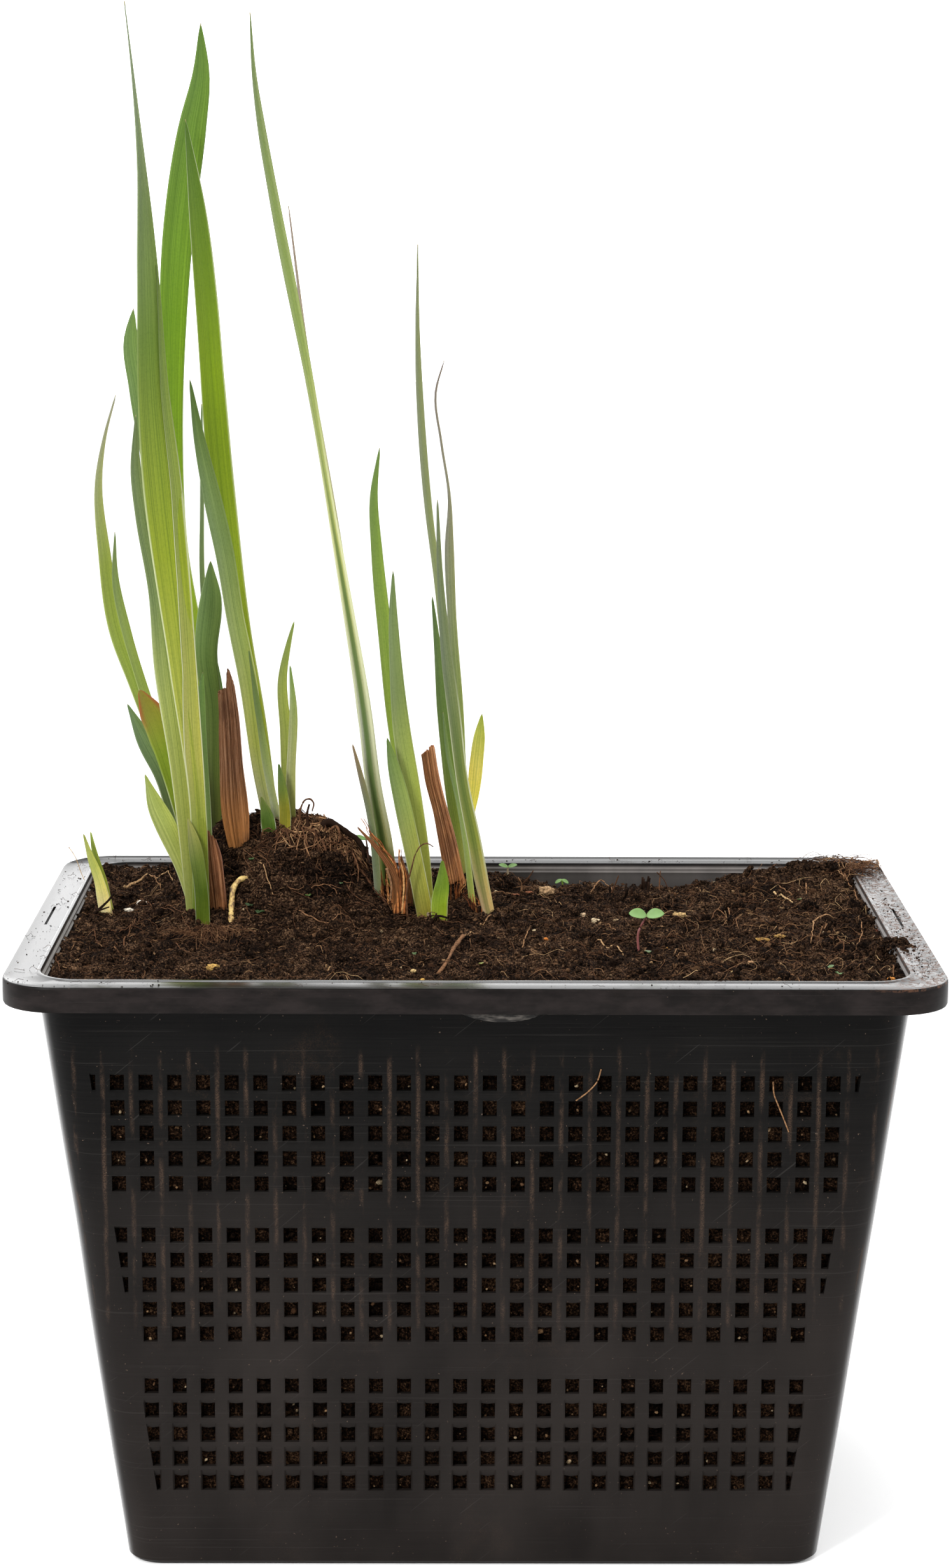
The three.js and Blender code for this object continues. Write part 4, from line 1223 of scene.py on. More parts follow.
def oval_leaf(base, heading, rise, length, width, thick=0.25, facing=0.0):
    """A small oval leaf that starts at base, slightly cupped; facing turns its top to the front."""
    along = np.array([math.cos(rise) * math.cos(heading), math.cos(rise) * math.sin(heading), math.sin(rise)])
    flat = np.array([-math.sin(heading), math.cos(heading), 0])
    upright = np.cross(along, flat)
    turn = math.copysign(facing, flat[1])
    side = flat * math.cos(turn) + upright * math.sin(turn)
    up = np.cross(along, side)
    steps, sides = 10, 10
    points = []
    for i in range(steps + 1):
        share = i / steps
        half = width / 2 * math.sin(min(share * 0.97 + 0.02, 1) * math.pi) ** 0.6 + 0.08
        for k in range(sides):
            angle = k / sides * math.tau
            cup = 0.18 * width * (math.cos(angle) ** 2) * math.sin(share * math.pi)
            points.append(np.asarray(base) + along * length * share + side * math.cos(angle) * half
                          + up * (math.sin(angle) * thick / 2 + cup - 0.12 * length * share * share))
    return np.array(points), tube_triangles(steps + 1, sides)


def make_seedlings():
    """Seedlings with two leaves each, and tufts of moss with three."""
    rng = np.random.default_rng(71)
    parts = []

    def add(shape, tint):
        points, faces = shape
        parts.append((points, faces, np.tile(colour(*tint)[:3], (len(points), 1))))

    for plant in SEEDLINGS:
        x, y = plant["foot"]
        z = rough_soil(x, y)
        top = (x + plant["lean"], y, z + plant["height"])
        stem = [(x, y, z - 1), (x - 0.02 * plant["height"], y, z + 0.5 * plant["height"]), top]
        add(strand(curve_through(stem, 12)[0], np.linspace(0.5, 0.34, 12), 6), plant["stem"])
        length, width = plant["leaf"]
        rise = math.radians(plant["rise"])
        for heading in (math.radians(186), math.radians(-8)):
            add(oval_leaf(top, heading, rise, length, width, 0.25, 0.75), SEEDLING_GREEN)
    for x, y, size, tint in MOSS:
        for k in range(3):
            heading = math.radians(120 * k + rng.uniform(-30, 30) - 90)
            base = (x, y, rough_soil(x, y) + 0.8)
            add(oval_leaf(base, heading, rng.uniform(0.1, 0.7), size * 0.95, size * 0.9, 0.4), tint)
    points, faces, tints = gather(parts)
    mesh = to_mesh("soil_seedlings", points, faces, {"tint": tints})
    t = Tree("seedling_green")
    tint = t.stored("tint", "Color")
    fine = t.noise(t.place, 700, 3, 0.6)
    shade = t.mix(t.times(fine, 0.4), tint, colour(50, 70, 30))
    surface = {"Base Color": shade, "Roughness": 0.5, "Normal": t.bump(fine, 0.3, 0.2)}
    add_piece("soil_seedlings", mesh, t.finish(surface, 0.3, {"Color": tint}))


# From where to where the rim's right side is flat, in x
RIM_FLAT = (139, 149)


def make_rim_crumbs(rng, material):
    """Crumbs on the rim: a dusting all round and a heap over its right side; and those heaped
    against the walls inside."""
    parts = []
    for _ in range(NUMBERS["rim_dust"]):
        draw = rng.random()
        if draw < 0.72:
            x = rng.uniform(*RIM_FLAT)
            y = float(np.clip(rng.choice([-62, -30, 10, 70]) + rng.normal(0, 16), -94, 92))
        elif draw < 0.82:
            x, y = -rng.uniform(*RIM_FLAT), rng.uniform(-92, 92)
        else:
            x, y = rng.uniform(-149, 149), rng.choice([-1, 1]) * rng.uniform(89, 98)
        radius = rng.uniform(0.07, 0.2) if rng.random() < 0.85 else rng.uniform(0.2, 0.42)
        parts.append((*lump(rng, (x, y, 199.7), radius, 1, 0.6), rng.uniform(0.15, 0.7)))
    for _ in range(NUMBERS["rim_heap"]):
        x, y = scattered(rng, RIM_HEAP_PLACE)
        radius = rng.uniform(0.4, 1.1)
        z = 199.4 + max(0, 2.0 - 0.3 * abs(x - 140) - 0.2 * abs(y + 36)) * rng.random()
        parts.append((*lump(rng, (min(x, 145), y, z), radius), rng.uniform(0, 0.5)))
    # Soil heaped against the inner side of the right wall
    for _ in range(NUMBERS["wall_heap"]):
        x = 138.2 - abs(rng.normal(0, 2.4))
        y = rng.uniform(-82, 76)
        high = (0.55 + 0.45 * math.sin(y / 9)) * (1.3 if -50 < y < -10 else 0.8)
        centre = (x, y, 197.0 + rng.uniform(-1.0, 2.2) * high)
        parts.append((*lump(rng, centre, rng.uniform(0.3, 1.0)), rng.uniform(0.05, 0.6)))
    # A small peak of crumbs against the back wall, and loose ones in the right back corner
    for _ in range(NUMBERS["back_peak"]):
        x = rng.normal(103, 2.0)
        y = rng.uniform(80, 85)
        radius = rng.uniform(0.5, 1.5)
        z = 191 + rng.uniform(0, 10.5) * max(0.2, 1 - abs(x - 101.5) / 4)
        parts.append((*lump(rng, (x, y, z), radius), rng.uniform(0, 0.3)))
    for _ in range(NUMBERS["corner_crumbs"]):
        x = rng.uniform(116, 138)
        y = rng.uniform(72, 87)
        radius = rng.uniform(0.4, 1.2)
        centre = (x, y, rough_soil(x, y) + rng.uniform(0, 1.0))
        parts.append((*lump(rng, centre, radius), rng.uniform(0.1, 0.6)))
    add_parts("rim_crumbs", parts, material)


# Two roots that came through the holes and hang on the front wall: x and z of the places they pass
WALL_ROOTS = [[(39.8, 171.2), (38.5, 167), (35.9, 163.9), (31.9, 160.7)],
              [(94.4, 167.2), (94.8, 163), (96, 159.8), (98, 155), (99.8, 150.4)]]


def make_rim_roots(rng, material):
    """The tangle in the right back corner, hairs round the rim, and two roots on the front wall."""
    parts = []
    for _ in range(NUMBERS["corner_tangle"]):
        x, y = scattered(rng, CORNER_TANGLE_PLACE)
        heading = rng.uniform(0, math.tau)
        length = rng.uniform(5, 16)
        bend = rng.normal(0, 2.2)
        rise = rng.uniform(0.0, 2.4)
        path = []
        for i in range(8):
            share = i / 7
            floor = 200.0 if x > 136 or y > 86 else rough_soil(x, y)
            z = max(floor, 198.0) + 0.15 + rise * math.sin(share * math.pi)
            path.append((float(np.clip(x, 118, 149)), float(np.clip(y, 66, 98.5)), z))
            heading += bend / 8 + rng.normal(0, 0.2)
            x += math.cos(heading) * length / 7
            y += math.sin(heading) * length / 7
        parts.append((*strand(path, rng.uniform(0.05, 0.15), 3), rng.uniform(0.25, 0.85)))
    for _ in range(NUMBERS["rim_hairs"]):
        x, y = rng.uniform(-148, 146), rng.choice([-1, 1]) * rng.uniform(90, 97)
        if rng.random() < 0.5:
            x, y = rng.choice([-1, 1]) * rng.uniform(140, 147), rng.uniform(-90, 90)
        heading = rng.uniform(0, math.tau)
        path = [(x, y, 199.9)]
        for _ in range(5):
            heading += rng.normal(0, 0.5)
            x += 0.8 * math.cos(heading)
            y += 0.8 * math.sin(heading)
            path.append((x, y, 199.9 + abs(rng.normal(0, 0.5))))
        parts.append((*strand(path, 0.07, 3), rng.uniform(0.1, 0.5)))
    for places in WALL_ROOTS:
        path = [(x, -body(z)["y"] - 0.5, z) for x, z in places]
        parts.append((*strand(curve_through(path, 16)[0], 0.22, 4), 0.78))
    add_parts("rim_roots", parts, material)


# The torn husks at the left of the lone shoot, from their tips to their feet
TORN_HUSKS = [
    [(-39.4, 16, 231), (-37.7, 16, 228.6), (-36.6, 16, 225.9), (-34.2, 16, 223), (-31.5, 16, 219.8),
     (-29.1, 16, 216.9), (-27.6, 15, 213.8), (-27, 14, 206), (-27, 13, 198)],
    [(-26.2, 14, 220.7), (-26, 14, 217.4), (-25.3, 14, 213.1), (-24.5, 13, 198)],
]
# The shoots' feet that wear fibres: x, y, z, how far the fibres spread, how high they reach and how
# many there are
FIBROUS_FEET = [(-29, 19, 200, 4.5, 12, 40), (-7, 47, 195, 4.5, 9, 60), (-88, 4, 197, 3.5, 9, 16),
                (2, 30, 196, 4, 6, 20)]


def make_husk_fibres(material):
    """Torn orange-brown husks round the feet of the lone, middle and right shoots."""
    rng = np.random.default_rng(79)
    parts = []
    for path in TORN_HUSKS:
        for k in range(5):
            # Every second strand of the longer husk leaves its tip out
            start = 2 * (k % 2) if len(path) > 6 else 0
            shifted = [(x + rng.normal(0, 0.35) + k * 0.2, y + rng.normal(0, 0.3), z)
                       for x, y, z in path[start:]]
            radii = np.linspace(0.12, 0.42, 24) * rng.uniform(0.7, 1.1)
            parts.append((*strand(curve_through(shifted, 24)[0], radii, 5), rng.uniform(0.4, 0.95)))
    for foot_x, foot_y, foot_z, spread, high, count in FIBROUS_FEET:
        for _ in range(count):
            angle = rng.uniform(0, math.tau)
            x = foot_x + math.cos(angle) * spread * rng.uniform(0.5, 1)
            y = foot_y + math.sin(angle) * spread * 0.7
            tall = high * rng.uniform(0.35, 1)
            lean = (x - foot_x) * 0.4 + rng.normal(0, 1)
            path = [(x - lean * 0.2, y, foot_z - 2), (x, y, foot_z + tall * 0.4),
                    (x + lean, y + rng.normal(0, 0.8), foot_z + tall)]
            radii = np.linspace(0.36, 0.08, 12) * rng.uniform(0.6, 1.2)
            parts.append((*strand(curve_through(path, 12)[0], radii, 4), rng.uniform(0.1, 0.9)))
    add_parts("husk_fibres", parts, material)


# The leaves, as in the solids: x, y, z, width and turn of the blade's stations, from the foot up
LEAVES = {
    "front_tall": [(-93, -3, 194, 6, 10), (-93.8, -3, 238, 5.6, 10), (-98, -5, 286, 9.2, 5),
        (-104, -9, 350, 13, 0), (-106, -12, 378, 10.6, 10), (-107, -15, 416, 8, 35),
        (-108, -19, 449, 6, 70), (-110, -24, 480, 2.8, 75), (-112, -28, 503, 0.6, 75)],
    "front_sheath": [(-92, -7, 192, 5, 5), (-93, -7, 214, 4.6, 5), (-95, -6, 227, 4.1, 0),
        (-97, -5, 235, 0.6, 0)],
    "front_long": [(-96, 1, 195, 4, 10), (-98, 2, 224, 5, 15), (-100, 2, 249, 6.5, 15),
        (-104, 3, 285, 9, 15), (-107, 4, 310, 6.6, 25), (-112, 5, 336, 5, 30), (-114, 7, 351, 4, 35),
        (-114, 9, 370, 0.6, 35)],
    "front_low": [(-95, 8, 196, 3.5, 0), (-101, 9, 218, 6, 0), (-106, 9, 230, 7.8, -10),
        (-109, 10, 236, 6.3, -15), (-113, 12, 247, 0.6, -20)],
    "front_short": [(-91, 4.5, 196, 4, 0), (-92, 5, 237, 4, 10), (-93, 4, 261, 3.8, 15),
        (-93, 3, 273, 3.4, 15), (-92, 2, 284, 0.6, 15)],
    "outer_dark": [(-97, 33, 206, 3.5, 20), (-103, 35, 222, 5.5, 20), (-109, 38, 243, 7.8, 20),
        (-116, 41, 255, 6.4, 25), (-122, 45, 266, 0.6, 30)],
    "outer_orange": [(-97, 28, 206, 4, 10), (-102, 28, 232, 6, 10), (-107, 28, 252, 8.2, 10),
        (-112, 28, 266, 8.5, 5), (-116, 27, 274, 1.2, 0)],
    "outer_inner": [(-99, 39, 205, 3.5, 30), (-108, 44, 245, 4.2, 30), (-117, 47, 273, 4.2, 35),
        (-122, 49, 290, 4, 40), (-126, 50, 310, 3, 45), (-126, 51, 326, 0.6, 45)],
    "outer_long": [(-101, 44, 205, 4, 35), (-110, 48, 245, 5.5, 35), (-120, 51, 273, 5.5, 35),
        (-126, 52, 290, 5.5, 35), (-130, 54, 317, 5.3, 35), (-132, 57, 344, 2.8, 35),
        (-130, 59, 358, 1.4, 35), (-126, 61, 373, 0.6, 35)],
    "back_broad": [(-91, 46, 214, 4.5, -20), (-92, 46, 241, 6, -20), (-92, 45, 266, 7.2, -20),
        (-94, 44, 284, 9, -20), (-92, 43, 305, 7.4, -20), (-92, 42, 317, 0.8, -20)],
    "back_tall": [(-92, 55, 210, 4.5, 20), (-96, 58, 264, 6.8, 20), (-101, 60, 292, 8, 15),
        (-105, 62, 316, 8, 15), (-107, 65, 355, 8.4, 15), (-106, 69, 405, 10, 15),
        (-104, 72, 432, 10.8, 10), (-99, 75, 466, 9.8, 10), (-96, 76, 483, 6.2, 10),
        (-96, 77, 501, 0.6, 10)],
    "back_edge_on": [(-91, 63, 205, 4, 60), (-94, 66, 276, 3.6, 60), (-97, 69, 308, 2.8, 60),
        (-97, 72, 336, 2.8, 60), (-97, 75, 369, 0.6, 60)],
    "back_sliver": [(-86, 50, 215, 3, 45), (-89, 52, 255, 2.8, 45), (-90, 53, 271, 2.4, 45),
        (-91, 54, 280, 0.6, 45)],
    "crown_leaning": [(-71, 38, 222, 5, 15), (-75, 37, 243, 5.2, 15), (-79, 34, 277, 6.3, 15),
        (-83, 32, 299, 6.5, 20), (-86, 30, 320, 6.6, 20), (-90, 28, 340, 6.2, 20), (-94, 26, 360, 4.2, 20),
        (-97, 24, 381, 0.6, 20)],
    "crown_tall": [(-71, 47, 220, 5, -15), (-77, 52, 260, 6.5, -15), (-82, 56, 289, 7, -15),
        (-87, 59, 323, 9, -15), (-90, 61, 350, 9.3, -15), (-92, 62, 377, 9.1, -15),
        (-94, 64, 405, 8.7, -15), (-97, 66, 437, 6.2, -15), (-101, 68, 468, 0.6, -15)],
    "crown_side": [(-68, 32, 223, 3.2, 30), (-72, 30, 245, 3.1, 30), (-75, 29, 266, 2.5, 30),
        (-78, 27, 288, 0.6, 30)],
    "crown_sheath": [(-71, 24, 219, 5, 5), (-72, 24, 230, 4.6, 5), (-74, 24, 237, 0.6, 5)],
    "small_back": [(-65, 37, 222, 4, 10), (-66, 38, 257, 4.2, 10), (-67, 39, 277, 3.1, 15),
        (-65, 40, 288, 2, 20), (-63, 41, 296, 0.6, 20)],
    "small_front": [(-64, 32, 222, 3.4, -10), (-64, 32, 243, 3.3, -10), (-63, 31, 268, 2.6, -10),
        (-64, 31, 282, 0.6, -10)],
    "small_sheath": [(-66, 27.5, 221, 4, 0), (-66, 27.5, 231, 4.1, 0), (-67, 27.5, 241, 2.8, 0),
        (-68, 27.5, 248, 0.6, 0)],
    "lone_tall": [(-29, 24, 198, 6.2, -30), (-32, 24, 221, 8.4, -30), (-35, 23, 241, 7.4, -35),
        (-38, 22, 267, 7, -40), (-44, 20, 306, 5.4, -50), (-48, 18, 331, 5.2, -55), (-56, 14, 381, 6, -58),
        (-67, 7, 441, 6.2, -58), (-71, 4, 465, 6, -58), (-73, 2, 481, 3.6, -58), (-74, -1, 501, 0.6, -58)],
    "lone_back": [(-31, 31, 198, 5, -30), (-33.2, 31, 227, 5, -30), (-39.4, 30, 266, 4, -40),
        (-45.4, 28, 314, 3.4, -45), (-51.6, 26, 355, 2.6, -45), (-56.7, 24, 387, 1.9, -45),
        (-63, 20, 439, 0.6, -45)],
    "lone_sliver": [(-33, 18, 202, 2.6, 0), (-36, 18, 231, 2.2, 0), (-40, 17, 249, 1.6, 0),
        (-42, 16, 257, 0.6, 0)],
    "middle_back": [(-18, 25, 194, 5, 20), (-23, 27, 235, 5.8, 20), (-28, 30, 264, 5.3, 20),
        (-31, 32, 292, 5.3, 20), (-34, 34, 322, 4, 20), (-35, 35, 340, 3, 20), (-33, 36, 357, 0.6, 20)],
    "middle_front": [(-16, 19, 193, 5.4, 10), (-19, 18, 223, 6, 10), (-22, 17, 243, 6.3, 10),
        (-25, 17, 261, 6.1, 10), (-27, 16, 283, 4.6, 10), (-28, 16, 302, 2.9, 10), (-28, 15, 317, 0.6, 10)],
    "middle_sheath": [(-16, 13, 193, 5.8, 0), (-21, 12, 219, 5.8, 0), (-25, 12, 238, 5.6, 0),
        (-28, 12, 251, 3.8, 0), (-30, 12, 260, 0.6, 0)],
    "middle_bud": [(-11.5, 8, 192, 4.4, -5), (-12, 8, 203, 5.8, -5), (-11, 8, 210, 4.6, -5),
        (-11, 8, 218, 0.8, -5)],
    "right_front": [(6, 22, 193, 4.2, -20), (3, 22, 206, 5.2, -20), (0, 22, 222, 5, -20),
        (-4, 22, 242, 4.7, -20), (-7, 21, 266, 4.7, -20), (-10, 20, 290, 4, -20), (-12, 19, 314, 2.4, -20),
        (-13, 18, 341, 0.6, -20)],
    "right_middle": [(0, 36, 193, 2.6, -30), (-5, 36, 231, 2.2, -30), (-9, 36, 249, 1.8, -30),
        (-11, 35, 265, 0.6, -30)],
    "right_inner": [(-2, 66, 198, 4.2, 20), (-6, 66, 218, 4.4, 20), (-8, 66, 235, 5.8, 20),
        (-11, 65, 263, 4.9, 20), (-13, 64, 283, 2.9, 20), (-15, 63, 302, 0.6, 20)],
    "right_long": [(0, 58, 198, 4.5, -50), (-5, 56, 247, 5, -50), (-10, 54, 284, 4.6, -50),
        (-13, 53, 309, 4.4, -50), (-16, 51, 332, 4.8, -52), (-19, 47, 368, 3.8, -55),
        (-20, 44, 392, 3.2, -55), (-20, 40, 426, 0.6, -55)],
    "right_curled": [(0, 75, 197, 4, 30), (-4, 76, 232, 4.2, 30), (-6, 78, 262, 4.7, 30),
        (-8, 80, 293, 4, 30), (-9, 82, 317, 3.7, 30), (-9, 83, 335, 1.5, 40), (-12, 85, 355, 1.2, 40),
        (-14, 86, 373, 1, 40), (-11, 88, 384, 0.6, 40)],
    "right_yellow": [(-1, 81, 195, 3.4, 0), (-2, 81, 215, 3.5, 10), (0, 81, 227, 4.4, 20),
        (1, 81, 238, 5.4, 20), (2, 80, 248, 4.6, 20), (3, 80, 257, 0.6, 20)],
    "far_left": [(-127, 17, 192, 5.2, -15), (-130, 17, 209, 4, -15), (-133, 17, 218, 2.4, -15),
        (-135, 17, 225, 0.6, -15)],
    "far_left_back": [(-126, 21, 192, 3.4, -15), (-129, 21, 208, 2.8, -15), (-132, 21, 219, 1.8, -15),
        (-133, 21, 225, 0.6, -15)],
    "front_rear": [(-94, 17, 204, 4, 5), (-103, 17, 290, 6, 5), (-109.5, 17, 350, 6, 5),
        (-113.9, 17, 378, 6, 5), (-116, 17, 395, 4.8, 5), (-115, 17, 405, 0.6, 5)],
}
# The husks: their stations as the leaves have them, how light they are in red, green and blue, how
# orange their foot is, and how their top is torn: (place across, from -1 at its left to 1 at its
# right, and height there over the solid's top)
HUSKS = {
    "stub_tall": {
        "rows": [(-81, 22, 212, 5, 10), (-83, 21, 231, 9.4, 10), (-84, 20, 250, 8, 10),
            (-85, 19, 269, 6.9, 10), (-86, 18, 281, 6, 10)],
        "shade": (0.97, 0.97, 1.2), "foot": 0.95,
        "torn": [(-1, -6.6), (-0.2, -5.6), (0.1, -5.2), (0.3, -3.5), (0.45, 0.6), (0.65, 1.2), (0.85, -2.0),
            (1, -5.0)]},
    "stub_right": {
        "rows": [(-5.5, 52, 196, 7, 0), (-9.5, 52, 216, 5.9, 0), (-12, 52, 227, 5.2, 0),
            (-14.7, 52, 238, 5.1, 0), (-16.5, 52, 249, 4.9, 0)],
        # The right stub's colours are lifted well above its own: painted light against the shade it stands in
        "shade": (2.35, 2.2, 2.5), "foot": 0.5,
        "torn": [(-1, -2.0), (-0.6, -1.2), (0.2, -0.3), (0.7, 1.0), (1, 0.4)]},
    "stub_short": {
        "rows": [(-87, 1, 196, 4.6, 0), (-88, 1, 208, 6, 0), (-89, 1, 219, 5.8, 0), (-90, 1, 229, 3.6, 0)],
        "shade": (0.92, 0.8, 0.86), "foot": 0.25,
        "torn": [(-1, 0.6), (-0.3, 0.2), (0.3, -1.6), (1, -3.0)]},
    "scale_long": {
        "rows": [(-27, 14, 196, 3.4, 0), (-28, 14, 212, 2.6, 0), (-33, 14, 220, 1.8, 0),
            (-40, 14, 228, 0.6, 0)],
        "shade": (1, 0.85, 0.8), "foot": 0.25,
        "torn": [(-1, 0), (1, 0)]},
    "scale_short": {
        "rows": [(-23, 23, 194, 3.6, 0), (-23.8, 23, 206, 3.4, 0), (-25.5, 23, 216, 0.6, 0)],
        "shade": (0.9, 0.75, 0.7), "foot": 0.25,
        "torn": [(-1, -1), (1, 0.4)]},
}
BARE_ROOT = [(-77, 12, 206), (-78.5, 11, 210.5), (-80.5, 8.5, 211), (-82.5, 6, 209), (-83, 2, 204.5),
             (-83, -3, 199.5), (-83, -5.5, 195.5)]
ROOT_STEPS = 50

# Each leaf's colours from its foot to its tip, at the shares of its length in TONE_PLACES
# Near the foot the colours are set lighter than the leaves' own: painted light against the shade close to the
# soil
TONE_PLACES = (0.03, 0.2, 0.42, 0.65, 0.97)
LEAF_TONES = {
    "front_tall": [(100, 120, 30), (150, 156, 60), (120, 134, 26), (90, 112, 38), (116, 130, 90)],
    "front_sheath": [(98, 104, 14), (82, 100, 16), (74, 94, 18), (96, 112, 40), (138, 138, 74)],
    "front_long": [(140, 148, 70), (147, 154, 70), (146, 156, 75), (112, 129, 72), (98, 114, 68)],
    "front_low": [(160, 160, 84), (160, 168, 84), (160, 168, 84), (152, 162, 80), (138, 150, 76)],
    "front_short": [(150, 160, 84), (140, 154, 84), (120, 142, 82), (118, 144, 84), (120, 150, 80)],
    "outer_dark": [(80, 88, 40), (76, 88, 42), (76, 91, 44), (80, 100, 50), (96, 118, 70)],
    "outer_orange": [(130, 140, 40), (128, 142, 34), (124, 143, 30), (124, 144, 32), (130, 120, 44)],
    "outer_inner": [(150, 160, 80), (150, 164, 76), (146, 162, 72), (140, 156, 74), (120, 138, 80)],
    "outer_long": [(150, 160, 80), (148, 160, 74), (146, 162, 70), (140, 153, 66), (148, 148, 120)],
    "back_broad": [(90, 96, 40), (70, 80, 28), (74, 90, 33), (80, 102, 40), (100, 124, 64)],
    "back_tall": [(140, 150, 60), (136, 152, 50), (122, 148, 36), (104, 136, 26), (94, 122, 50)],
    "back_edge_on": [(140, 150, 80), (130, 146, 76), (120, 138, 74), (110, 130, 72), (110, 130, 80)],
    "back_sliver": [(205, 208, 180), (196, 202, 168), (150, 165, 110), (110, 140, 70), (90, 125, 50)],
    "crown_leaning": [(205, 208, 170), (198, 204, 112), (160, 174, 100), (120, 141, 82), (74, 98, 40)],
    "crown_tall": [(150, 160, 80), (146, 158, 60), (126, 144, 34), (110, 133, 15), (78, 106, 36)],
    "crown_side": [(200, 204, 170), (176, 184, 130), (150, 164, 96), (120, 140, 76), (110, 130, 70)],
    "crown_sheath": [(84, 104, 30), (74, 98, 26), (72, 98, 28), (84, 108, 40), (110, 124, 60)],
    "small_back": [(130, 140, 50), (148, 156, 66), (156, 164, 80), (154, 164, 80), (136, 152, 76)],
    "small_front": [(140, 144, 60), (152, 156, 92), (157, 160, 104), (150, 158, 98), (116, 140, 72)],
    "small_sheath": [(146, 140, 44), (140, 134, 40), (132, 130, 38), (108, 124, 48), (92, 116, 60)],
    "lone_tall": [(124, 118, 52), (148, 154, 126), (166, 170, 104), (118, 134, 68), (92, 108, 58)],
    "lone_back": [(116, 116, 58), (120, 126, 74), (140, 144, 104), (146, 140, 120), (146, 132, 122)],
    "lone_sliver": [(120, 126, 90), (116, 126, 90), (116, 128, 90), (120, 124, 90), (140, 120, 90)],
    "middle_back": [(150, 160, 70), (146, 164, 66), (138, 158, 60), (130, 151, 66), (112, 136, 70)],
    "middle_front": [(172, 172, 84), (170, 176, 84), (152, 164, 78), (118, 133, 76), (104, 122, 72)],
    "middle_sheath": [(142, 132, 46), (152, 152, 66), (150, 156, 76), (132, 148, 78), (98, 122, 62)],
    "middle_bud": [(176, 178, 66), (160, 176, 50), (150, 172, 50), (130, 156, 52), (120, 146, 56)],
    "right_front": [(196, 170, 120), (138, 146, 66), (112, 124, 72), (103, 114, 80), (100, 110, 76)],
    "right_middle": [(170, 176, 90), (160, 172, 96), (150, 166, 100), (130, 150, 90), (110, 130, 80)],
    "right_inner": [(176, 178, 90), (140, 156, 66), (118, 142, 64), (112, 136, 70), (100, 122, 70)],
    "right_long": [(140, 148, 62), (138, 148, 80), (128, 138, 84), (116, 124, 84), (112, 118, 84)],
    "right_curled": [(176, 178, 90), (150, 164, 90), (134, 146, 92), (132, 134, 104), (128, 118, 104)],
    "right_yellow": [(238, 230, 170), (238, 232, 160), (228, 222, 146), (212, 204, 140), (172, 180, 96)],
    "far_left": [(222, 210, 160), (216, 202, 150), (204, 198, 120), (170, 176, 90), (150, 156, 84)],
    "far_left_back": [(206, 206, 120), (196, 200, 110), (180, 190, 90), (156, 170, 70), (140, 156, 70)],
    "front_rear": [(110, 124, 50), (100, 118, 50), (92, 112, 50), (88, 110, 50), (94, 118, 56)],
    "front_fold": [(110, 140, 40), (160, 160, 74), (120, 132, 52), (100, 120, 50), (96, 116, 56)],
}
# What most leaves share: how much light shines through, how grey the left side and how yellow the
# right side is, how strong the painted shade in the crease, the dark middle stripe, the pale margin and
# the burnt tip are, how far out the margin starts, and how strong it still is on the leaf's upper half
COMMON_TRAITS = {"through": 0.35, "grey_side": 0.5, "gold_side": 0.35, "crease_shade": 0.3, "stripe": 0.0,
                 "margin": 0.55, "burnt": 0.0, "margin_from": 0.87, "margin_up": 0.12}
# Where a leaf differs from them
LEAF_TRAITS = {
    "front_sheath": {"margin": 0.3}, "outer_dark": {"through": 0.25}, "outer_orange": {"burnt": 0.9},
    "back_broad": {"through": 0.25, "crease_shade": 0.5}, "back_tall": {"through": 0.5},
    "crown_leaning": {"crease_shade": 0.6}, "crown_tall": {"through": 0.5, "margin_up": 1.0},
    "crown_sheath": {"grey_side": 0.0, "margin": 0.9},
    "lone_tall": {"stripe": 0.85, "margin": 0.8, "margin_from": 0.5, "crease_shade": 0.6},
    "middle_back": {"through": 0.5}, "middle_bud": {"through": 0.5},
    "right_front": {"stripe": 0.5, "margin": 0.8, "margin_from": 0.74},
    "right_yellow": {"through": 0.5, "grey_side": 0.1}, "far_left": {"grey_side": 0.2},
    "front_rear": {"through": 0.25}, "front_fold": {"margin": 0.8},
}
BLADE_STATIONS = 64
BLADE_SIDES = 20


def spread_stations(rows, count):
    """Evenly spread stations on a smooth curve through the rows."""
    rows = np.asarray(rows, float)
    curve, where, span = curve_through(rows, count)
    a, b = rows[span], rows[span + 1]
    low, high = np.minimum(a, b)[:, 3], np.maximum(a, b)[:, 3]
    curve[:, 3] = np.clip(curve[:, 3], low, high * 1.04)
    return curve, where


def blade_axes(stations):
    """The directions across each station's blade and out of its face."""
    up = np.gradient(stations[:, :3], axis=0)
    up /= np.linalg.norm(up, axis=1)[:, None]
    angle = np.radians(stations[:, 4])
    across = np.column_stack([np.cos(angle), np.sin(angle), np.zeros(len(angle))])
    across -= up * np.sum(across * up, axis=1)[:, None]
    across /= np.linalg.norm(across, axis=1)[:, None]
    return across, np.cross(up, across)


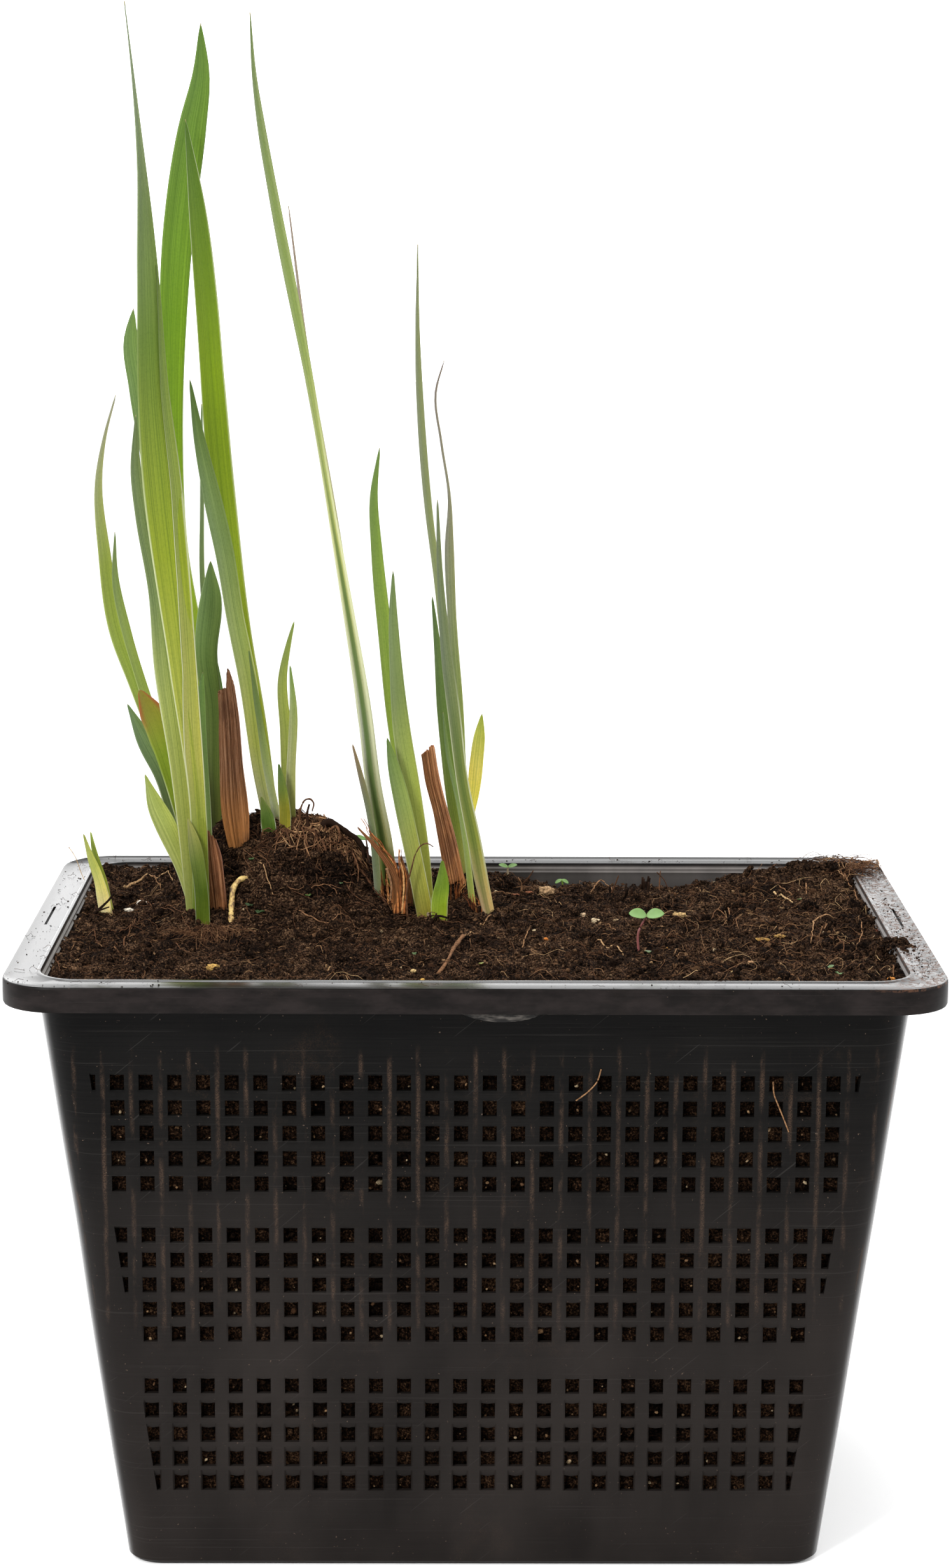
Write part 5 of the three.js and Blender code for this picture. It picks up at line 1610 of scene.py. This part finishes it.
def make_blade(name, rows, material, seed):
    """A leaf: thin at its margins, thickest along the midrib, and rounder at its foot."""
    stations, along = spread_stations(rows, BLADE_STATIONS)
    across, face = blade_axes(stations)
    share = along / along[-1]
    width = stations[:, 3].copy()
    width[-1] = 0.15
    thick = np.clip(width * (0.34 - 0.14 * np.clip(share * 3, 0, 1)), 0.3, 1.7)
    rng = np.random.default_rng(seed)
    phase = rng.uniform(0, math.tau, 3)
    angles = np.arange(BLADE_SIDES) / BLADE_SIDES * math.tau
    points, values = [], []
    for i in range(len(stations)):
        sway = 0.05 * width[i] * math.sin(phase[0] + share[i] * 17)
        for angle in angles:
            a = math.cos(angle)
            f = math.copysign(abs(math.sin(angle)) ** 0.85, math.sin(angle))
            ridge = 0.18 * math.exp(-((a / 0.12) ** 2)) * thick[i]
            depth = f * (thick[i] / 2 + ridge) + 0.06 * width[i] * (1 - a * a) + sway * a
            points.append(stations[i, :3] + across[i] * a * width[i] / 2 + face[i] * depth)
            values.append((a, along[i] / 100, share[i]))
    faces = band_faces(BLADE_STATIONS, BLADE_SIDES)
    mesh = tidy(to_mesh(name, points, faces, {"blade": values}), 60)
    add_piece(name + "_blade", mesh, material, [name])


# The front shoot's outer fold: (share of the way up, its left edge, its right edge), where the
# edges are shares of the blade's half width
FRONT_FOLD = [(0.10, -0.98, 0.98), (0.20, -0.9, 0.98), (0.29, -0.1, 0.98), (0.39, 0.22, 0.98),
              (0.49, 0.42, 0.98), (0.60, 0.45, 0.96), (0.70, 0.62, 0.92), (0.74, 0.8, 0.86)]


def make_fold():
    """The half of the front shoot that lies folded over its lower blade, a little proud of it."""
    stations, along = spread_stations(LEAVES["front_tall"], 160)
    across, face = blade_axes(stations)
    shares = along / along[-1]
    bounds = np.array(FRONT_FOLD)
    sides = 9
    points, values = [], []
    levels = [i for i, share in enumerate(shares) if bounds[0, 0] <= share <= bounds[-1, 0]][::2]
    for i in levels:
        share = shares[i]
        left = np.interp(share, bounds[:, 0], bounds[:, 1])
        right = np.interp(share, bounds[:, 0], bounds[:, 2])
        width = stations[i, 3]
        thick = float(np.clip(width * 0.2, 0.3, 1.7))
        loop = []
        for k in range(sides):
            part = k / (sides - 1)
            a = left + (right - left) * part
            front = math.sqrt(max(0, 1 - a * a)) * thick / 2 - 0.06 * width * (1 - a * a)
            proud = 0.22 + 0.35 * (1 - part) ** 3
            loop.append((a, front + proud, part * 2 - 1))
        under = [(a, depth - 0.18, place) for a, depth, place in reversed(loop)]
        for a, depth, place in loop + under:
            points.append(stations[i, :3] + across[i] * a * width / 2 - face[i] * depth)
            values.append((place, along[i] / 100, share))
    faces = band_faces(len(levels), sides * 2)
    mesh = tidy(to_mesh("leaf_front_fold", points, faces, {"blade": values}), 60)
    add_piece("leaf_front_fold", mesh, leaf_material("front_fold", 35))


def leaf_material(name, seed):
    """Fine parallel veins, a greyer left side and a yellower right one, a thin pale margin, and
    light that shines through."""
    traits = {**COMMON_TRAITS, **LEAF_TRAITS.get(name, {})}
    t = Tree("leaf_" + name)
    blade = t.stored("blade", "Vector")
    a, _, share = t.split(blade)
    off = t.size(a)
    offset = {0: blade, 1: (seed * 3.7, seed * 1.3, 0)}
    shifted = t.add("ShaderNodeVectorMath", offset, operation="ADD").outputs[0]
    veins = t.noise(t.scaled(shifted, 19, 0.35, 0), 1.0, 4, 0.8)
    broad = t.noise(t.scaled(shifted, 2.2, 0.8, 0), 1.0, 2, 0.5)
    grain = t.noise(t.place, 1300, 2, 0.6)
    low_half = t.times(t.smooth(share, 0.8, 0.55), t.smooth(share, 0.0, 0.08))
    # Painted shade: the crease down the lower half of the blade is darkened
    crease_shade = t.times(t.smooth(off, 0.07, 0.02), low_half)
    stripe = t.times(t.smooth(off, 0.5, 0.2), t.smooth(share, 0.62, 0.35))
    upper = traits["margin_up"]
    margin = t.smooth(off, traits["margin_from"], traits["margin_from"] * 0.4 + 0.6)
    margin = t.times(margin, t.plus(t.times(t.smooth(share, 0.62, 0.4), 1 - upper), upper))
    margin = t.times(margin, t.smooth(share, 0.0, 0.22))
    burnt = t.times(t.smooth(off, 0.5, 0.95), t.smooth(share, 0.76, 0.92))

    base = t.ramp(share, [(place, colour(*tone)) for place, tone in zip(TONE_PLACES, LEAF_TONES[name])])
    dark, light = t.scaled(base, 0.69, 0.75, 0.64), t.scaled(base, 1.27, 1.21, 1.34)
    tint = t.mix(t.smooth(veins, 0.36, 0.64), dark, light)
    for part, change in (
            (t.times(t.smooth(broad, 0.45, 0.72), 0.5), (1.25, 1.2, 1.25)),
            (t.times(t.smooth(grain, 0.45, 0.7), 0.5), (0.78, 0.82, 0.75)),
            (t.times(t.smooth(a, 0.15, -0.85), traits["grey_side"]), (0.94, 0.9, 1.5)),
            (t.times(t.smooth(a, 0.0, 0.9), traits["gold_side"]), (1.2, 1.12, 0.7)),
            (t.times(crease_shade, traits["crease_shade"]), (0.4, 0.5, 0.35))):
        tint = t.mix(part, tint, t.scaled(tint, *change))
    tint = t.coated(tint, [
        (t.times(stripe, traits["stripe"]), colour(74, 98, 40)),
        (t.times(margin, traits["margin"]), colour(200, 202, 174)),
        (t.times(burnt, traits["burnt"]), colour(150, 78, 44)),
        (t.smooth(share, 0.994, 1.0), colour(158, 146, 104))])
    rough = t.plus(t.times(veins, 0.3), 0.35)
    normal = t.bump(veins, 0.6, 0.3)
    surface = {"Base Color": tint, "Roughness": rough, "Specular IOR Level": 0.2, "Normal": normal}
    glow = {"Color": t.scaled(tint, 1.25, 1.25, 0.5), "Normal": normal}
    return t.finish(surface, traits["through"], glow)


def make_leaves():
    """All the leaves; a leaf's place in the table is its seed."""
    for seed, (name, rows) in enumerate(LEAVES.items()):
        make_blade("leaf_" + name, rows, leaf_material(name, seed), seed)


def husk_material(name, shade, foot_share):
    """Dry ribbed tissue: dark grooves between pale ribs, their dark partly the tissue's own and partly
    painted shade, a painted highlight down the right edge, and orange at the foot.
    """
    t = Tree(name)
    blade = t.stored("blade", "Vector")
    a, _, share = t.split(blade)
    streaks = t.noise(t.scaled(blade, 26, 1.1, 0), 1.0, 7, 0.9)
    patches = t.noise(t.scaled(t.place, 1, 1, 0.4), 110, 4, 0.65)
    # Painted highlight: a pale line down the right edge
    right_edge_highlight = t.times(t.smooth(t.size(a), 0.90, 0.96), t.smooth(share, 0.15, 0.4))
    foot = t.times(t.smooth(share, 0.55, 0.1), t.smooth(patches, 0.32, 0.5), t.smooth(streaks, 0.36, 0.52))
    # The grooves' dark is partly painted shade, as it follows the relief's low streaks
    tint = t.coated(t.ramp(streaks, HUSK_STREAKS), [
        (t.times(t.smooth(patches, 0.50, 0.36), 0.5), colour(84, 54, 36)),
        (t.times(right_edge_highlight, 0.6), colour(230, 178, 150))])
    tint = t.mix(t.times(foot, foot_share), t.scaled(tint, *shade), colour(224, 150, 84))
    return t.finish({"Base Color": tint, "Roughness": 0.85, "Specular IOR Level": 0.1,
                     "Normal": t.bump(streaks, 1.0, 1.2)})


def make_husk(name, husk, seed):
    """Last year's growth: a ribbed husk with a torn, hollow top."""
    sides, count = 72, 44
    stations, along = spread_stations(husk["rows"], count)
    across, face = blade_axes(stations)
    rng = np.random.default_rng(seed)
    ridges = rng.uniform(0.84, 1.06, sides)
    phases = rng.uniform(0, math.tau, sides)
    places, heights = zip(*husk["torn"])
    angles = [k / sides * math.tau for k in range(sides)]
    tears = [np.interp(math.cos(angle), places, heights) + rng.normal(0, 0.35) for angle in angles]
    up = stations[-1, :3] - stations[-2, :3]
    up /= np.linalg.norm(up)
    # The last three rings turn in over the torn edge and go down inside
    levels = [(i, 1.0, 0.0) for i in range(count)]
    levels += [(count - 1, 0.80, 0.1), (count - 1, 0.72, -2.2), (count - 1, 0.6, -6.0)]
    points, values = [], []
    for i, shrink, drop in levels:
        width = stations[i, 3]
        thick = min(max(width * 0.5, 0.6), 4)
        share = along[i] / along[-1]
        for k, angle in enumerate(angles):
            wobble = 1 + 0.04 * math.sin(share * 9 + phases[k])
            reach = ridges[k] * wobble * shrink
            tear = tears[k] * min(1, max(0, (share - 0.72) / 0.28)) + drop
            points.append(stations[i, :3] + across[i] * math.cos(angle) * width / 2 * reach
                          + face[i] * math.sin(angle) * thick / 2 * reach + up * tear)
            values.append((k / sides * 2 - 1, along[i] / 100, share))
    mesh = tidy(to_mesh(name, points, band_faces(len(levels), sides), {"blade": values}), 60)
    material = husk_material(name, husk["shade"], husk["foot"])
    add_piece(name + "_husk", mesh, material, [name])


def make_bare_root():
    """The pale root that arches over the soil beside the front shoots."""
    path, along, _ = curve_through(BARE_ROOT, ROOT_STEPS)
    rng = np.random.default_rng(3)
    radii = 0.95 * (1 + 0.14 * np.sin(along * 1.1) + rng.normal(0, 0.08, ROOT_STEPS))
    radii[-3:] *= 0.9
    points, faces = strand(path, radii, 12)
    mesh = tidy(to_mesh("root_bare", points, faces), 60)
    t = Tree("root_pale")
    spots = t.noise(t.place, 420, 4, 0.7)
    tint = t.ramp(spots, [
        (0.40, colour(84, 60, 30)), (0.48, colour(158, 128, 72)), (0.60, colour(186, 160, 96)),
        (0.72, colour(212, 192, 136))])
    material = t.finish({"Base Color": tint, "Roughness": 0.6, "Normal": t.bump(spots, 0.5, 0.5)})
    add_piece("root_bare_skin", mesh, material, ["root_bare"])


# The floor, the light and the camera

FLOOR_REACH = 6.0
# The lamps: where they are, what they shine at, their size and their power, in metres and watts
LAMPS = {
    "overhead": {"place": (-0.2, 0.1, 1.7), "target": (0, 0, 0.2), "size": 1.0, "power": 12},
    "key": {"place": (-0.8, -1.2, 1.2), "target": (0, 0, 0.25), "size": 0.4, "power": 32},
    "side_right": {"place": (1.5, -0.4, 0.9), "target": (0, 0, 0.3), "size": 0.7, "power": 9},
}


def make_floor():
    """A plain white floor."""
    mesh = bpy.data.meshes.new("floor")
    reach = FLOOR_REACH
    mesh.from_pydata([(-reach, -reach, 0), (reach, -reach, 0), (reach, reach, 0), (-reach, reach, 0)],
                     [], [(0, 1, 2, 3)])
    floor = bpy.data.objects.new("floor", mesh)
    bpy.context.scene.collection.objects.link(floor)
    t = Tree("floor_white")
    material = t.finish({"Base Color": (0.88, 0.88, 0.88, 1), "Roughness": 0.9, "Specular IOR Level": 0.1})
    mesh.materials.append(material)


def make_sky():
    """A plain studio: bright behind the object and above it, and dim on the camera's side."""
    world = bpy.data.worlds.new("studio")
    bpy.context.scene.world = world
    t = Tree("studio", world)
    share = {"Value": t.split(t.place)[1], "From Min": -0.45, "From Max": 0.55, "To Min": 0.9, "To Max": 2.4}
    strength = t.add("ShaderNodeMapRange", share, interpolation_type="SMOOTHSTEP").outputs[0]
    background = t.add("ShaderNodeBackground", {"Color": (1, 1, 1, 1), "Strength": strength})
    t.add("ShaderNodeOutputWorld", {"Surface": background.outputs[0]})


def make_lamp(name, place, target, size, power):
    """A round lamp that shines at its target."""
    lamp = bpy.data.lights.new(name, "AREA")
    lamp.shape = "DISK"
    lamp.size = size
    lamp.energy = power
    lamp_object = bpy.data.objects.new(name, lamp)
    bpy.context.scene.collection.objects.link(lamp_object)
    lamp_object.location = Vector(place)
    direction = Vector(target) - Vector(place)
    lamp_object.rotation_euler = direction.to_track_quat("-Z", "Y").to_euler()


def make_camera():
    """The camera that took the photograph, as fitted to it."""
    camera = bpy.data.cameras.new("camera")
    camera.lens = FOCAL_LENGTH
    camera.sensor_width = SENSOR
    camera.clip_start = 0.05
    camera_object = bpy.data.objects.new("camera", camera)
    bpy.context.scene.collection.objects.link(camera_object)
    bpy.context.scene.camera = camera_object
    yaw, pitch, roll = (math.radians(CAMERA[key]) for key in ("yaw", "pitch", "roll"))
    forward = Vector((math.sin(yaw) * math.cos(pitch), math.cos(yaw) * math.cos(pitch), -math.sin(pitch)))
    right = Vector((math.cos(yaw), -math.sin(yaw), 0))
    up = right.cross(forward)
    right, up = right * math.cos(roll) + up * math.sin(roll), up * math.cos(roll) - right * math.sin(roll)
    turn = Matrix((right, up, -forward)).transposed()
    place = Vector((CAMERA["x"], CAMERA["y"], CAMERA["z"])) * MM
    camera_object.matrix_world = Matrix.Translation(place) @ turn.to_4x4()


def main():
    make_camera()
    make_floor()
    make_sky()
    for name, lamp in LAMPS.items():
        make_lamp(name, **lamp)
    make_basket()
    make_flash()
    peat = soil_material()
    make_soil(peat)
    make_crumbs(peat)
    make_hole_crumbs(peat)
    make_grains(peat)
    roots = fibre_material("root_fibre", ROOT_TONES)
    make_fibres(roots)
    make_wiry_growth(roots)
    make_straws(roots)
    make_stones()
    make_seedlings()
    spill = np.random.default_rng(73)
    make_rim_crumbs(spill, peat)
    make_rim_roots(spill, roots)
    make_husk_fibres(fibre_material("husk_fibre", HUSK_TONES))
    make_leaves()
    make_fold()
    for seed, (name, husk) in enumerate(HUSKS.items()):
        make_husk(name, husk, 40 + seed)
    make_bare_root()
    bpy.context.scene.view_settings.view_transform = "Standard"


main()
